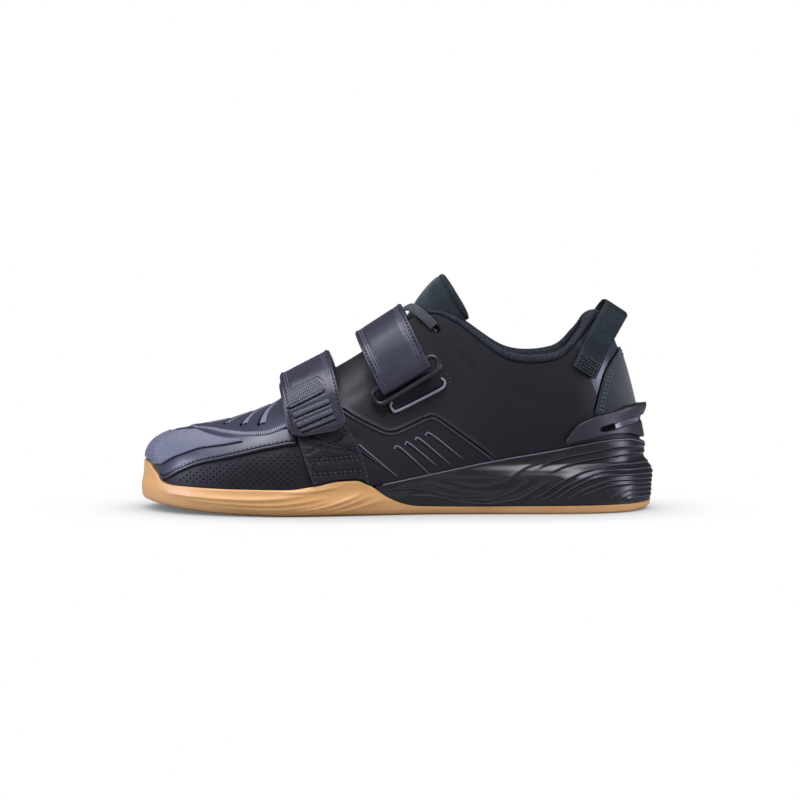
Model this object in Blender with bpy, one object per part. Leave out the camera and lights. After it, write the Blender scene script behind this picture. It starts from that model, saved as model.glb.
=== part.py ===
import bpy
import bmesh
import math
from functools import lru_cache
from mathutils import Vector

# Left weightlifting shoe, EU 42.5. Metres, toe to -X, heel to +X, outer side to -Y.
# Tables hold millimetres; MM turns them into metres when a mesh is made.
MM = 0.001
LENGTH = 292.0
BALL_WIDTH = 105.0
GIRTH = BALL_WIDTH / 105.0
WALL = 1.9
GAP = 0.35
RIM = 3.2
INSOLE = 3.4
STRAP_WIDTH = 31.0

# Plan outline of the sole: share of the length from the toe, then the half width on
# the outer and inner side as a share of the ball width.
OUTLINE = [
    ("toe tip", 0.0000, -0.057, 0.057),
    ("toe corner", 0.0103, 0.095, 0.200),
    ("toe side", 0.0411, 0.248, 0.314),
    ("little toe", 0.0959, 0.371, 0.405),
    ("toes", 0.1747, 0.462, 0.467),
    ("ball", 0.2603, 0.505, 0.490),
    ("behind ball", 0.3048, 0.505, 0.480),
    ("strap", 0.3459, 0.495, 0.457),
    ("waist front", 0.4384, 0.443, 0.386),
    ("waist", 0.5411, 0.386, 0.333),
    ("waist back", 0.5959, 0.371, 0.324),
    ("arch end", 0.6507, 0.362, 0.319),
    ("heel front", 0.7466, 0.357, 0.333),
    ("heel", 0.8425, 0.348, 0.343),
    ("heel side", 0.9178, 0.300, 0.300),
    ("heel corner", 0.9692, 0.195, 0.195),
    ("heel tip", 1.0000, 0.0, 0.0),
]

# Top edge of the upper for the same stations: x, half width each side, height, then the
# two handles that bow the wall: up and out from the sole, out and up from the top edge.
TOPLINE = [
    ("toe tip", -116.5, -3.0, 3.0, 45.6, 9.5, 0.0, 15.5, -3.5),
    ("toe corner", -115.5, -3.0, 3.0, 45.8, 11.5, 0.0, 16.5, -3.0),
    ("toe side", -112.5, -2.8, 2.8, 46.4, 15.5, 0.0, 19.0, -2.5),
    ("little toe", -106.0, -2.2, 2.2, 47.8, 19.5, 0.0, 26.0, -2.0),
    ("toes", -91.0, -1.2, 1.2, 51.4, 23.5, 0.0, 31.0, -1.5),
    ("ball", -70.0, -0.5, 0.5, 59.2, 28.0, 0.0, 33.0, -2.0),
    ("behind ball", -57.0, 0.0, 0.0, 67.6, 30.0, -1.0, 31.0, -3.0),
    ("strap", -48.0, 7.0, 7.0, 72.6, 31.0, -1.0, 24.0, -6.0),
    ("waist front", -21.0, 10.0, 10.0, 88.0, 33.0, -1.0, 18.0, -9.0),
    ("waist", 2.0, 12.5, 12.5, 105.0, 34.0, 0.0, 12.0, -16.0),
    ("waist back", 18.0, 15.5, 15.5, 111.6, 34.0, 2.0, 9.0, -20.0),
    ("arch end", 33.5, 21.5, 21.5, 107.0, 28.0, 3.0, 6.0, -20.0),
    ("heel front", 62.5, 31.0, 31.0, 86.8, 20.0, 3.0, 3.0, -17.0),
    ("heel", 89.0, 32.3, 32.3, 86.3, 20.0, 2.0, 3.0, -17.0),
    ("heel side", 102.6, 28.0, 28.0, 97.0, 20.0, 0.0, 6.0, -17.0),
    ("heel corner", 112.0, 17.0, 17.0, 107.8, 18.5, -2.0, 9.5, -16.0),
    ("heel tip", 117.0, 0.0, 0.0, 110.4, 17.5, -2.8, 11.6, -14.0),
]
STATIONS = len(OUTLINE)
THROAT_ROW = 6
STEPS = [3, 3, 2, 2, 2, 2, 2, 2, 2, 2, 2, 2, 2, 2, 3, 3]

# Heights along the shoe: x, z.
TREAD = [(-146, 5.0), (-141, 4.8), (-118, 2.6), (-95, 1.0), (-72, 0.2), (-58, 0.0), (60, 0.0),
         (128, 0.0), (139, 0.6), (146, 1.5)]
GUM_TOP = [(-146, 27.8), (-142, 26.8), (-138, 22.6), (-132.5, 17.4), (-126, 16.1), (-91, 15.2),
           (-60, 15.1), (-46, 16.8), (-31, 19.4), (-22, 19.8), (-13, 16.2), (-4, 10.2), (5, 6.6),
           (13, 5.2), (40, 4.7), (146, 5.0)]
WEDGE_TOP = [(-13, 16.4), (-5, 17.9), (57, 30.2), (94, 36.6), (102, 38.4), (128, 41.4),
             (134, 41.3), (146, 38.0)]
WEDGE_FLOOR = [(-13, 9.4), (30, 16.0), (78, 26.6), (105, 29.0), (146, 29.6)]
GUM_FLOOR = 7.4

# How far the side of the sole stands in from its outline: height above tread, inset.
FORE_SIDE = [(0, 3.4), (1.2, 1.4), (3.5, 0.3), (8, 0.0), (15, 1.2), (22, 1.6), (28, 2.4)]
HEEL_SIDE = [(0, 1.9), (1.2, 0.8), (4.6, 0.4), (12, 0.3), (20, 0.0), (24, 1.6), (29, 4.6),
             (34, 4.5), (38, 3.8), (42, 4.2)]
WEDGE_START = -11.0
MIDDLE_Y = 1.0


def ease(a, b, x):
    t = min(1.0, max(0.0, (x - a) / (b - a)))
    return t * t * (3.0 - 2.0 * t)


def table(rows, x):
    """Smooth reading of a two-column table, without overshoot."""
    if x <= rows[0][0]:
        return rows[0][1]
    for k in range(len(rows) - 1):
        x0, y0 = rows[k]
        x1, y1 = rows[k + 1]
        if x <= x1:
            d = (y1 - y0) / (x1 - x0)
            before = (y0 - rows[k - 1][1]) / (x0 - rows[k - 1][0]) if k else d
            after = (rows[k + 2][1] - y1) / (rows[k + 2][0] - x1) if k + 2 < len(rows) else d
            m0 = 0.0 if before * d <= 0 else 2.0 * before * d / (before + d)
            m1 = 0.0 if after * d <= 0 else 2.0 * after * d / (after + d)
            h = x1 - x0
            t = (x - x0) / h
            return (y0 * (1 + 2 * t) * (1 - t) ** 2 + m0 * h * t * (1 - t) ** 2
                    + y1 * t * t * (3 - 2 * t) - m1 * h * t * t * (1 - t))
    return rows[-1][1]


def blend(p0, p1, p2, p3, t):
    """Catmull-Rom between p1 and p2, for numbers or vectors."""
    return (p1 * 2.0 + (p2 - p0) * t + (p0 * 2.0 - p1 * 5.0 + p2 * 4.0 - p3) * (t * t)
            + (p1 * 3.0 - p0 - p2 * 3.0 + p3) * (t * t * t)) * 0.5


def row_value(rows, k, read, side):
    """Row k of a table; past the toe or heel tip the other side carries on."""
    if k < 0:
        return read(rows[-k], -side)
    if k >= STATIONS:
        return read(rows[2 * STATIONS - 2 - k], -side)
    return read(rows[k], side)


def along(rows, s, read, side):
    k = min(int(s), STATIONS - 2)
    return blend(*[row_value(rows, k + d, read, side) for d in (-1, 0, 1, 2)], s - k)


@lru_cache(maxsize=None)
def plan(s, side):
    """Sole outline at station s; side is -1 outer, 1 inner."""
    def read(row, sd):
        share = row[2] if sd < 0 else row[3]
        return Vector((LENGTH * (row[1] - 0.5), sd * share * BALL_WIDTH, 0.0))
    return along(OUTLINE, s, read, side)


@lru_cache(maxsize=None)
def outward(s, side):
    a = max(0.0, s - 0.02)
    b = min(STATIONS - 1.0, s + 0.02)
    d = plan(b, side) - plan(a, side)
    if s < 1e-6:
        return Vector((-1.0, 0.0, 0.0))
    if s > STATIONS - 1.0 - 1e-6:
        return Vector((1.0, 0.0, 0.0))
    n = Vector((d.y, -d.x, 0.0)) * (-side)
    return n.normalized()


def top_of_gum(s, side):
    return table(GUM_TOP, plan(s, side).x)


@lru_cache(maxsize=None)
def top_of_sole(s, side):
    x = plan(s, side).x
    return max(table(GUM_TOP, x), table(WEDGE_TOP, x) if x > -13.0 else 0.0)


@lru_cache(maxsize=None)
def side_inset(s, side, z):
    x = plan(s, side).x
    h = ease(-10.0, 90.0, x)
    up = z - table(TREAD, x)
    return table(FORE_SIDE, up) * (1 - h) + table(HEEL_SIDE, up) * h


def sole_point(s, side, inset, z):
    p = plan(s, side) - outward(s, side) * inset
    return Vector((p.x, p.y, z))


@lru_cache(maxsize=None)
def edge_inset(s, side):
    return side_inset(s, side, top_of_sole(s, side))


@lru_cache(maxsize=None)
def foot_of_upper(s, side):
    x = plan(s, side).x
    tuck = 1.7 * math.exp(-((x + 31.0) / 20.0) ** 2) if side < 0 else 0.0
    tuck += 2.2 * ease(-122.0, -142.0, x) + 1.6 * ease(100.0, 140.0, x)
    return sole_point(s, side, edge_inset(s, side) + 0.6 + tuck, top_of_sole(s, side) + GAP)


@lru_cache(maxsize=None)
def handles(s, side):
    """The four points of a column's curve, from the sole to the top edge."""
    def top(row, sd):
        return Vector((row[1], sd * (row[2] if sd < 0 else row[3]) * GIRTH, row[4]))
    low = foot_of_upper(s, side)
    high = along(TOPLINE, s, top, side)
    up, out, far, drop = [along(TOPLINE, s, lambda row, sd, c=c: row[c], side) for c in (5, 6, 7, 8)]
    far *= GIRTH
    n = outward(s, side)
    rise = 0.0
    if s < THROAT_ROW:
        a = along(TOPLINE, max(0.0, s - 0.3), top, side)
        b = along(TOPLINE, s + 0.3, top, side)
        rise = (b.z - a.z) / max(0.5, b.x - a.x)
    p1 = low + n * out + Vector((0.0, 0.0, up))
    p2 = high + n * far + Vector((0.0, 0.0, drop + n.x * far * rise))
    return low, p1, p2, high


@lru_cache(maxsize=None)
def skin(s, side, v):
    """Outer face of the upper: v 0 at the sole, 1 at the top edge."""
    low, p1, p2, high = handles(s, side)
    w = 1.0 - v
    return low * w ** 3 + p1 * (3 * w * w * v) + p2 * (3 * w * v * v) + high * v ** 3


@lru_cache(maxsize=None)
def normal(s, side, v):
    s0 = max(0.0, s - 0.05)
    s1 = min(STATIONS - 1.0, s + 0.05)
    v0 = max(0.0, v - 0.02)
    v1 = min(1.0, v + 0.02)
    ds = skin(s1, side, v) - skin(s0, side, v)
    dv = skin(s, side, v1) - skin(s, side, v0)
    n = ds.cross(dv) * (-side)
    if s < 1e-6 or s > STATIONS - 1.0 - 1e-6:
        n.y = 0.0
    if v > 0.999 and s <= THROAT_ROW:
        n.y *= 0.0
    n = n.normalized()
    return n


def off(s, side, v, d):
    return skin(s, side, v) + normal(s, side, v) * d


def columns(first=0.0, last=STATIONS - 1.0, factor=1):
    out = []
    for k, n in enumerate(STEPS):
        for i in range(n * factor):
            out.append(k + i / (n * factor))
    out.append(float(STATIONS - 1))
    inside = [s for s in out if first + 0.08 < s < last - 0.08]
    return [first] + inside + [last]


def find_station(x):
    a, b = 0.0, STATIONS - 1.0
    for _ in range(40):
        m = 0.5 * (a + b)
        if plan(m, -1).x < x:
            a = m
        else:
            b = m
    return 0.5 * (a + b)


def spread(y):
    """Moves a strap's point out or in with the ball width, its layers kept together."""
    return y + math.copysign(min(abs(y), 30.0), y) * (GIRTH - 1.0)


def locate(x, z, side):
    """Column and share whose skin point has this x and z in the side view."""
    best = None
    for i in range(0, 61):
        s = (STATIONS - 1) * i / 60.0
        for j in range(0, 13):
            p = skin(s, side, j / 12.0)
            d = (p.x - x) ** 2 + (p.z - z) ** 2
            if best is None or d < best[0]:
                best = (d, s, j / 12.0)
    s, v = best[1], best[2]
    for _ in range(12):
        p = skin(s, side, v)
        ex, ez = x - p.x, z - p.z
        a = skin(min(STATIONS - 1.0, s + 0.01), side, v)
        b = skin(max(0.0, s - 0.01), side, v)
        c = skin(s, side, min(1.0, v + 0.005))
        d = skin(s, side, max(0.0, v - 0.005))
        j00, j10 = (a.x - b.x) / 0.02, (a.z - b.z) / 0.02
        j01, j11 = (c.x - d.x) / 0.01, (c.z - d.z) / 0.01
        det = j00 * j11 - j01 * j10
        if abs(det) < 1e-6:
            break
        s += max(-0.5, min(0.5, (ex * j11 - ez * j01) / det))
        v += max(-0.1, min(0.1, (ez * j00 - ex * j10) / det))
        s = max(0.0, min(STATIONS - 1.0, s))
        v = max(0.0, min(1.0, v))
    return s, v


# Objects
for old in list(bpy.data.objects):
    bpy.data.objects.remove(old, do_unlink=True)
shoe = bpy.data.collections.new("weightlifting_shoe")
bpy.context.scene.collection.children.link(shoe)
cutters = bpy.data.collections.new("cutters")
bpy.context.scene.collection.children.link(cutters)
MATERIALS = {}


def material(name, colour, roughness, metallic=0.0):
    if name not in MATERIALS:
        m = bpy.data.materials.new(name)
        m.use_nodes = True
        shader = m.node_tree.nodes["Principled BSDF"]
        shader.inputs["Base Color"].default_value = (*colour, 1.0)
        shader.inputs["Roughness"].default_value = roughness
        shader.inputs["Metallic"].default_value = metallic
        MATERIALS[name] = m
    return MATERIALS[name]


GUM = material("gum_rubber", (0.66, 0.42, 0.22), 0.5)
BLACK = material("wedge_black", (0.035, 0.035, 0.042), 0.35)
LEATHER = material("upper_leather", (0.03, 0.03, 0.036), 0.5)
NUBUCK = material("green_charcoal", (0.035, 0.045, 0.048), 0.7)
MESH = material("lining_mesh", (0.05, 0.052, 0.056), 0.9)
PLASTIC = material("clip_plastic", (0.06, 0.058, 0.07), 0.4)
METAL = material("ring_gunmetal", (0.09, 0.09, 0.10), 0.35, 0.6)
WEBBING = material("webbing_green_black", (0.03, 0.04, 0.042), 0.8)
LACE = material("lace_grey", (0.10, 0.10, 0.115), 0.8)


def solid(name, verts, faces, mat, where=None, wire=False):
    mesh = bpy.data.meshes.new(name)
    bm = bmesh.new()
    made = [bm.verts.new((p.x * MM, (p.y + MIDDLE_Y) * MM, p.z * MM)) for p in verts]
    for f in faces:
        ids = [i for k, i in enumerate(f) if i != f[k - 1]]
        if len(ids) >= 3:
            bm.faces.new([made[i] for i in ids])
    bmesh.ops.recalc_face_normals(bm, faces=bm.faces)
    if bm.calc_volume(signed=True) < 0:
        bmesh.ops.reverse_faces(bm, faces=bm.faces)
    bm.to_mesh(mesh)
    bm.free()
    mesh.materials.append(mat)
    o = bpy.data.objects.new(name, mesh)
    (where or shoe).objects.link(o)
    if wire:
        o.display_type = 'WIRE'
        o.hide_render = True
    else:
        for p in mesh.polygons:
            p.use_smooth = False
    return o


class Net:
    """Points shared by key, so both sides of the shoe join on the same vertex."""

    def __init__(self):
        self.ids = {}
        self.points = []
        self.faces = []

    def at(self, key, point):
        if key not in self.ids:
            self.ids[key] = len(self.points)
            self.points.append(point)
        return self.ids[key]

    def quad(self, a, b, c, d):
        self.faces.append((a, b, c, d))


def both_sides(name, cols, half, mat, closed=False, shared=None, open_front=False):
    """Loft a half section over both sides. half(s, side) gives its points from the floor
    edge round to the tread edge; closed adds the last face of the section instead."""
    net = Net()
    last = len(cols) - 1
    count = len(half(cols[0], -1))

    sections = {(side, i): half(s, side) for side in (-1, 1) for i, s in enumerate(cols)}

    def vid(side, i, j):
        join = (i == 0 and not open_front) or i == last or (shared and shared(cols[i], j))
        key = ("both" if join else side, i, j)
        return net.at(key, sections[side, i][j])

    for side in (-1, 1):
        for i in range(last):
            for j in range(count if closed else count - 1):
                k = (j + 1) % count
                if closed == "throat" and j == shared.rim and cols[i + 1] <= THROAT_ROW + 1e-6:
                    continue
                net.quad(vid(side, i, j), vid(side, i + 1, j), vid(side, i + 1, k), vid(side, i, k))
    if not closed:
        for j in (0, count - 1):
            for i in range(last):
                net.quad(vid(-1, i, j), vid(-1, i + 1, j), vid(1, i + 1, j), vid(1, i, j))
        if open_front:
            for side in (-1, 1):
                net.faces.append([vid(side, 0, j) for j in range(count)])
            net.quad(vid(-1, 0, 0), vid(1, 0, 0), vid(1, 0, count - 1), vid(-1, 0, count - 1))
    return solid(name, net.points, net.faces, mat)


# Sole
def rim_width(s, side):
    x = plan(s, side).x
    return RIM - 1.6 * ease(-28.0, -12.0, x)


def gum_floor(s, side):
    return min(GUM_FLOOR, top_of_gum(s, side) - 0.6)


def outsole_half(s, side):
    z0 = table(TREAD, plan(s, side).x)
    z1 = top_of_gum(s, side)
    edge = side_inset(s, side, z1)
    rim = rim_width(s, side)
    pts = [sole_point(s, side, edge + rim + 0.3, gum_floor(s, side)),
           sole_point(s, side, edge + rim, z1), sole_point(s, side, edge + 0.7, z1)]
    for share in (0.95, 0.78, 0.55, 0.32, 0.16, 0.06):
        z = z0 + (z1 - z0) * share
        pts.append(sole_point(s, side, side_inset(s, side, z), z))
    pts.append(sole_point(s, side, side_inset(s, side, z0) + 0.4, z0))
    return pts


both_sides("outsole", columns(), outsole_half, GUM)


def midsole_half(s, side):
    x = plan(s, side).x
    z1 = top_of_gum(s, side) + GAP
    z2 = table(WEDGE_TOP, x)
    edge = edge_inset(s, side)
    pts = [sole_point(s, side, edge + RIM + 0.3, table(WEDGE_FLOOR, x)),
           sole_point(s, side, edge + RIM, z2), sole_point(s, side, edge + 0.6, z2)]
    for share in (0.96, 0.82, 0.7, 0.56, 0.4, 0.2):
        z = z1 + (z2 - z1) * share
        pts.append(sole_point(s, side, side_inset(s, side, z), z))
    pts.append(sole_point(s, side, side_inset(s, side, z1), z1))
    gum_edge = side_inset(s, side, top_of_gum(s, side))
    step = gum_edge + rim_width(s, side) + GAP + 0.35
    pts.append(sole_point(s, side, step, z1))
    pts.append(sole_point(s, side, step + 0.2, gum_floor(s, side) + GAP))
    return pts


wedge_from = find_station(WEDGE_START)
both_sides("midsole", columns(wedge_from), midsole_half, BLACK, open_front=True)


def insole_low(x):
    return table([(-146, 7.9), (-40, 7.9), (-22, 8.6), (-12.5, 9.9), (-5, 11.1), (30, 16.45),
                  (78, 27.0), (105, 29.4), (146, 30.1)], x)


TUCK_OUT = RIM + 0.4
TUCK_IN = TUCK_OUT + 1.7


def insole_half(s, side):
    x = plan(s, side).x
    inset = edge_inset(s, side) + TUCK_IN + 0.5
    low = insole_low(x)
    return [sole_point(s, side, inset + 0.8, low + INSOLE), sole_point(s, side, inset + 0.2, low + INSOLE - 0.7),
            sole_point(s, side, inset, low + 0.9), sole_point(s, side, inset + 0.5, low)]


both_sides("insole", columns(), insole_half, MESH)

# Upper
SHARES = [0.0, 0.1, 0.22, 0.36, 0.5, 0.64, 0.78, 0.9, 1.0]


def upper_half(s, side):
    x = plan(s, side).x
    base = edge_inset(s, side)
    top = top_of_sole(s, side) + GAP
    floor = insole_low(x) + 0.2
    pts = [skin(s, side, v) for v in SHARES]
    foot = skin(s, side, 0.0)
    gone = (plan(s, side) - Vector((foot.x, foot.y, 0.0))).length
    for v in reversed(SHARES):
        extra = (base + TUCK_IN - gone - WALL) * (1.0 - ease(0.0, 0.3, v))
        pts.append(off(s, side, v, -(WALL + extra)))
    pts[-1] = sole_point(s, side, base + TUCK_IN, top + 0.6)
    pts.append(sole_point(s, side, base + TUCK_IN, floor))
    pts.append(sole_point(s, side, base + TUCK_OUT, floor))
    pts.append(sole_point(s, side, base + TUCK_OUT, top))
    return pts


def ridge(s, j):
    return s <= THROAT_ROW + 1e-6 and j in (len(SHARES) - 1, len(SHARES))


ridge.rim = len(SHARES) - 1
both_sides("upper", columns(), upper_half, LEATHER, closed="throat", shared=ridge)


# Overlays: a piece of the upper's own form, lifted off it
def patch(name, cols, low, high, near, far, mat, rows=4, sides=(-1, 1), where=None):
    """Shell over columns; low(s, side) and high(s, side) give its shares v, near and far
    its distance from the skin. Both sides join at a column they share."""
    net = Net()
    last = len(cols) - 1
    whole = len(sides) == 2
    joins = {i for i in (0, last) if whole and (cols[i] < 1e-6 or cols[i] > STATIONS - 1 - 1e-6)}

    def vid(side, i, j, face):
        s = cols[i]
        a, b = low(s, side), high(s, side)
        v = a + (b - a) * j / rows
        key = ("both" if i in joins or (whole and v > 0.999) else side, i, j, face)
        return net.at(key, off(s, side, v, far if face else near))

    for side in sides:
        for i in range(last):
            for j in range(rows):
                for face in (0, 1):
                    net.quad(vid(side, i, j, face), vid(side, i + 1, j, face),
                             vid(side, i + 1, j + 1, face), vid(side, i, j + 1, face))
            for j in (0, rows):
                if j == rows and whole and high(cols[i], side) > 0.999 and high(cols[i + 1], side) > 0.999:
                    continue
                net.quad(vid(side, i, j, 0), vid(side, i + 1, j, 0), vid(side, i + 1, j, 1), vid(side, i, j, 1))
        for i in (0, last):
            if i in joins:
                continue
            for j in range(rows):
                net.quad(vid(side, i, j, 0), vid(side, i, j + 1, 0), vid(side, i, j + 1, 1), vid(side, i, j, 1))
    return solid(name, net.points, net.faces, mat, where)


# Share v of the toe overlays' edges down the shoe: station, share.
MUDGUARD_LOW = [(0, 0.03), (1, 0.03), (2, 0.04), (2.8, 0.165), (3.4, 0.25), (4.2, 0.30), (5, 0.33),
                (6, 0.315)]
MUDGUARD_HIGH = [(0, 0.985), (1, 0.985), (1.9, 0.955), (3, 0.85), (3.6, 0.745), (4.1, 0.617), (4.5, 0.525),
                 (5, 0.485), (5.5, 0.452), (6, 0.415)]
CAP_LOW = [(0, 0.04), (1.4, 0.035), (1.8, 0.135), (2.5, 0.305), (3, 0.37), (3.5, 0.42), (4.4, 0.428)]
CAP_HIGH = [(0, 0.72), (1, 0.75), (2, 0.80), (2.9, 0.78), (3.6, 0.61), (4.1, 0.50), (4.4, 0.455)]


def edge(rows):
    return lambda s, side: table(rows, s)


toe_cols = columns(0.0, 5.9)
patch("mudguard", toe_cols, edge(MUDGUARD_LOW), edge(MUDGUARD_HIGH), 0.6, 1.5, LEATHER, rows=6)
cap_cols = columns(0.0, 4.4)
patch("toe_cap", cap_cols, edge(CAP_LOW), edge(CAP_HIGH), 2.05, 2.8, LEATHER)

# Heel counter and clip: front edges as station by height
CLIP_LOW = [(12.85, 0.035), (14, 0.045), (16, 0.04)]
CLIP_HIGH = [(12.85, 0.075), (13.01, 0.149), (13.2, 0.212), (13.6, 0.238), (14.2, 0.25), (15.2, 0.28), (16, 0.31)]
COUNTER_HIGH = [(13.65, 0.27), (14.14, 0.468), (14.6, 0.582), (15.18, 0.64), (16, 0.70)]
COUNTER_FRONT = 13.7

patch("heel_counter", columns(COUNTER_FRONT), lambda s, side: table(CLIP_HIGH, s) + 0.012, edge(COUNTER_HIGH),
      0.5, 1.6, NUBUCK)
patch("heel_clip", columns(12.85), edge(CLIP_LOW), edge(CLIP_HIGH), 0.5, 2.7, PLASTIC, rows=6)


# Sheets and bands: a grid of points given thickness along its own normal
def slab(name, grid, thick, mat, out_share=0.5, ring=False):
    rows, wide = len(grid), len(grid[0])

    def face_normal(i, j):
        i0, i1 = max(0, i - 1), min(rows - 1, i + 1)
        if ring:
            i0, i1 = (i - 1) % rows, (i + 1) % rows
        a = grid[i1][j] - grid[i0][j]
        b = grid[i][min(wide - 1, j + 1)] - grid[i][max(0, j - 1)]
        return a.cross(b).normalized()

    net = Net()

    def vid(i, j, face):
        i = i % rows
        t = thick[i] if isinstance(thick, list) else thick
        shift = t * (out_share if face else out_share - 1.0)
        return net.at((i, j, face), grid[i][j] + face_normal(i, j) * shift)

    for i in range(rows if ring else rows - 1):
        for j in range(wide - 1):
            for face in (0, 1):
                net.quad(vid(i, j, face), vid(i + 1, j, face), vid(i + 1, j + 1, face), vid(i, j + 1, face))
        for j in (0, wide - 1):
            net.quad(vid(i, j, 0), vid(i + 1, j, 0), vid(i + 1, j, 1), vid(i, j, 1))
    if not ring:
        for i in (0, rows - 1):
            for j in range(wide - 1):
                net.quad(vid(i, j, 0), vid(i, j + 1, 0), vid(i, j + 1, 1), vid(i, j, 1))
    return solid(name, net.points, net.faces, mat)


def course(points, step):
    """Catmull-Rom through rows (x, y, z, slope, width, twist), step pieces to a row."""
    points = [list(p) + [0.0] * (6 - len(p)) for p in points]
    out = []
    n = len(points)
    for k in range(n - 1):
        p = [points[max(0, min(n - 1, k + d))] for d in (-1, 0, 1, 2)]
        for i in range(step):
            t = i / step
            out.append([blend(*[q[c] for q in p], t) for c in range(6)])
    out.append(list(points[-1]))
    return out


def band(name, points, thick, mat, step=2):
    rows = course(points, step)
    grid = []
    for k, (x, y, z, slope, width, twist) in enumerate(rows):
        a, b = rows[max(0, k - 1)], rows[min(len(rows) - 1, k + 1)]
        run = (Vector(b[:3]) - Vector(a[:3])).normalized()
        w = Vector((math.cos(math.radians(slope)), twist, math.sin(math.radians(slope))))
        w = (w - run * w.dot(run)).normalized()
        c = Vector((x, spread(y), z))
        grid.append([c - w * width / 2, c + w * width / 2])
    return slab(name, grid, thick, mat)


# Strap over the ball: tab on the outer side, over the top, round the inner ring and back
W = STRAP_WIDTH
FRONT_STRAP = [
    (-42.6, -47.2, 46.5, 11, W * 0.86), (-43.2, -47.0, 49.5, 11, W), (-45.0, -45.8, 57, 13, W),
    (-47.2, -41.5, 67, 17, W), (-49.8, -31, 76.6, 21, W), (-51.6, -16, 81.2, 26, W),
    (-52.2, 0, 82.3, 27.5, W), (-51.8, 16, 80.8, 26, W), (-50.3, 30, 75.5, 22, W),
    (-48.3, 40, 67, 18, W), (-47.0, 45.8, 58, 15, W, -0.08), (-46.6, 47.5, 52.5, 14, W, -0.1),
    (-46.4, 44.1, 48.7, 14, W, -0.1), (-46.6, 40.5, 51.4, 14, W, -0.1), (-47.0, 38.9, 57, 15, W, -0.09),
    (-48.8, 34.9, 65.0, 18, W, -0.04), (-50.8, 26, 72.8, 23, W), (-52.0, 13, 76.6, 26, W),
    (-52.4, 0, 77.6, 27.5, W), (-52.0, -14, 76.3, 26, W), (-50.3, -26.5, 71.6, 22, W),
    (-48.3, -36, 64.2, 18, W), (-46.4, -41.6, 56.0, 15, W), (-45.4, -43.2, 52.6, 14, W)]
band("front_strap", FRONT_STRAP, 2.4, LEATHER, step=1)

# Anchor of that strap, from under the tab down to the sole, laid on the upper
BASE_LEFT = [(50.0, -57.2), (40.8, -53.9), (28.0, -49.8), (18.0, -46.3)]
BASE_RIGHT = [(18.0, -14.9), (30.7, -18.3), (38.9, -21.6), (50.0, -28.2)]


def side_patch(name, left, right, low, high, near, far, mat, nu=5, nv=5, side=-1):
    """Shell bounded in the side view by x of its left and right edge at each height."""
    grid = []
    for j in range(nv + 1):
        row = []
        for i in range(nu + 1):
            u = i / nu
            zl, zh = low(u), high(u)
            z = zl + (zh - zl) * j / nv
            x = left(z) * (1 - u) + right(z) * u
            row.append(locate(x, z, side))
        grid.append(row)
    net = Net()

    def vid(j, i, face):
        s, v = grid[j][i]
        return net.at((j, i, face), off(s, side, v, far if face else near))

    for j in range(nv):
        for i in range(nu):
            for face in (0, 1):
                net.quad(vid(j, i, face), vid(j + 1, i, face), vid(j + 1, i + 1, face), vid(j, i + 1, face))
        for i in (0, nu):
            net.quad(vid(j, i, 0), vid(j + 1, i, 0), vid(j + 1, i, 1), vid(j, i, 1))
    for i in range(nu):
        for j in (0, nv):
            net.quad(vid(j, i, 0), vid(j, i + 1, 0), vid(j, i + 1, 1), vid(j, i, 1))
    return solid(name, net.points, net.faces, mat)


def base_foot(u):
    x = -46.3 + 31.4 * u
    return max(table(GUM_TOP, x), table(WEDGE_TOP, x)) + 1.0


side_patch("front_strap_base", lambda z: table(sorted(BASE_LEFT), z), lambda z: table(sorted(BASE_RIGHT), z),
           base_foot, lambda u: 50.5, GAP, 2.1, LEATHER)

# Strap over the instep: tab on the inner side, over the top, round the outer ring and back
DOWN = Vector((0.444, 0.0, -0.896))
CREST = Vector((-9.9, 0.0, 107.6))


def instep(y, h, slope, width=W):
    p = CREST + DOWN * h
    return (p.x, y, p.z, slope, width)


TOP_STRAP = [
    instep(39.0, 47, 24, W * 0.86), instep(38.6, 43.5, 25), instep(36.9, 34, 27), instep(34.2, 25, 29),
    instep(30.6, 16, 31), instep(24.8, 8.5, 32), instep(16.5, 3.0, 33), instep(8.5, 0.7, 33),
    instep(0.0, 0.0, 33), instep(-8.5, 0.7, 33), instep(-16.5, 3.0, 33), instep(-25.0, 8.5, 32),
    instep(-31.0, 16, 31), instep(-35.2, 25, 31), instep(-37.2, 31.5, 31.2), instep(-36.6, 35.4, 31.2),
    instep(-33.6, 36.2, 31.2), instep(-31.1, 33.0, 31.2), instep(-28.6, 25.0, 31),
    instep(-25.0, 17.0, 31.5), instep(-19.0, 10.2, 32), instep(-12.0, 6.4, 33), instep(0.0, 4.9, 33),
    instep(12.0, 6.4, 33), instep(18.6, 10.2, 32), instep(23.8, 16.5, 31), instep(27.4, 25, 29),
    instep(30.8, 36, 26), instep(33.4, 48, 23), instep(35.2, 60, 19), instep(36.0, 72, 16),
    instep(36.0, 85, 13)]
band("top_strap", TOP_STRAP, 2.4, LEATHER, step=1)


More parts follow.
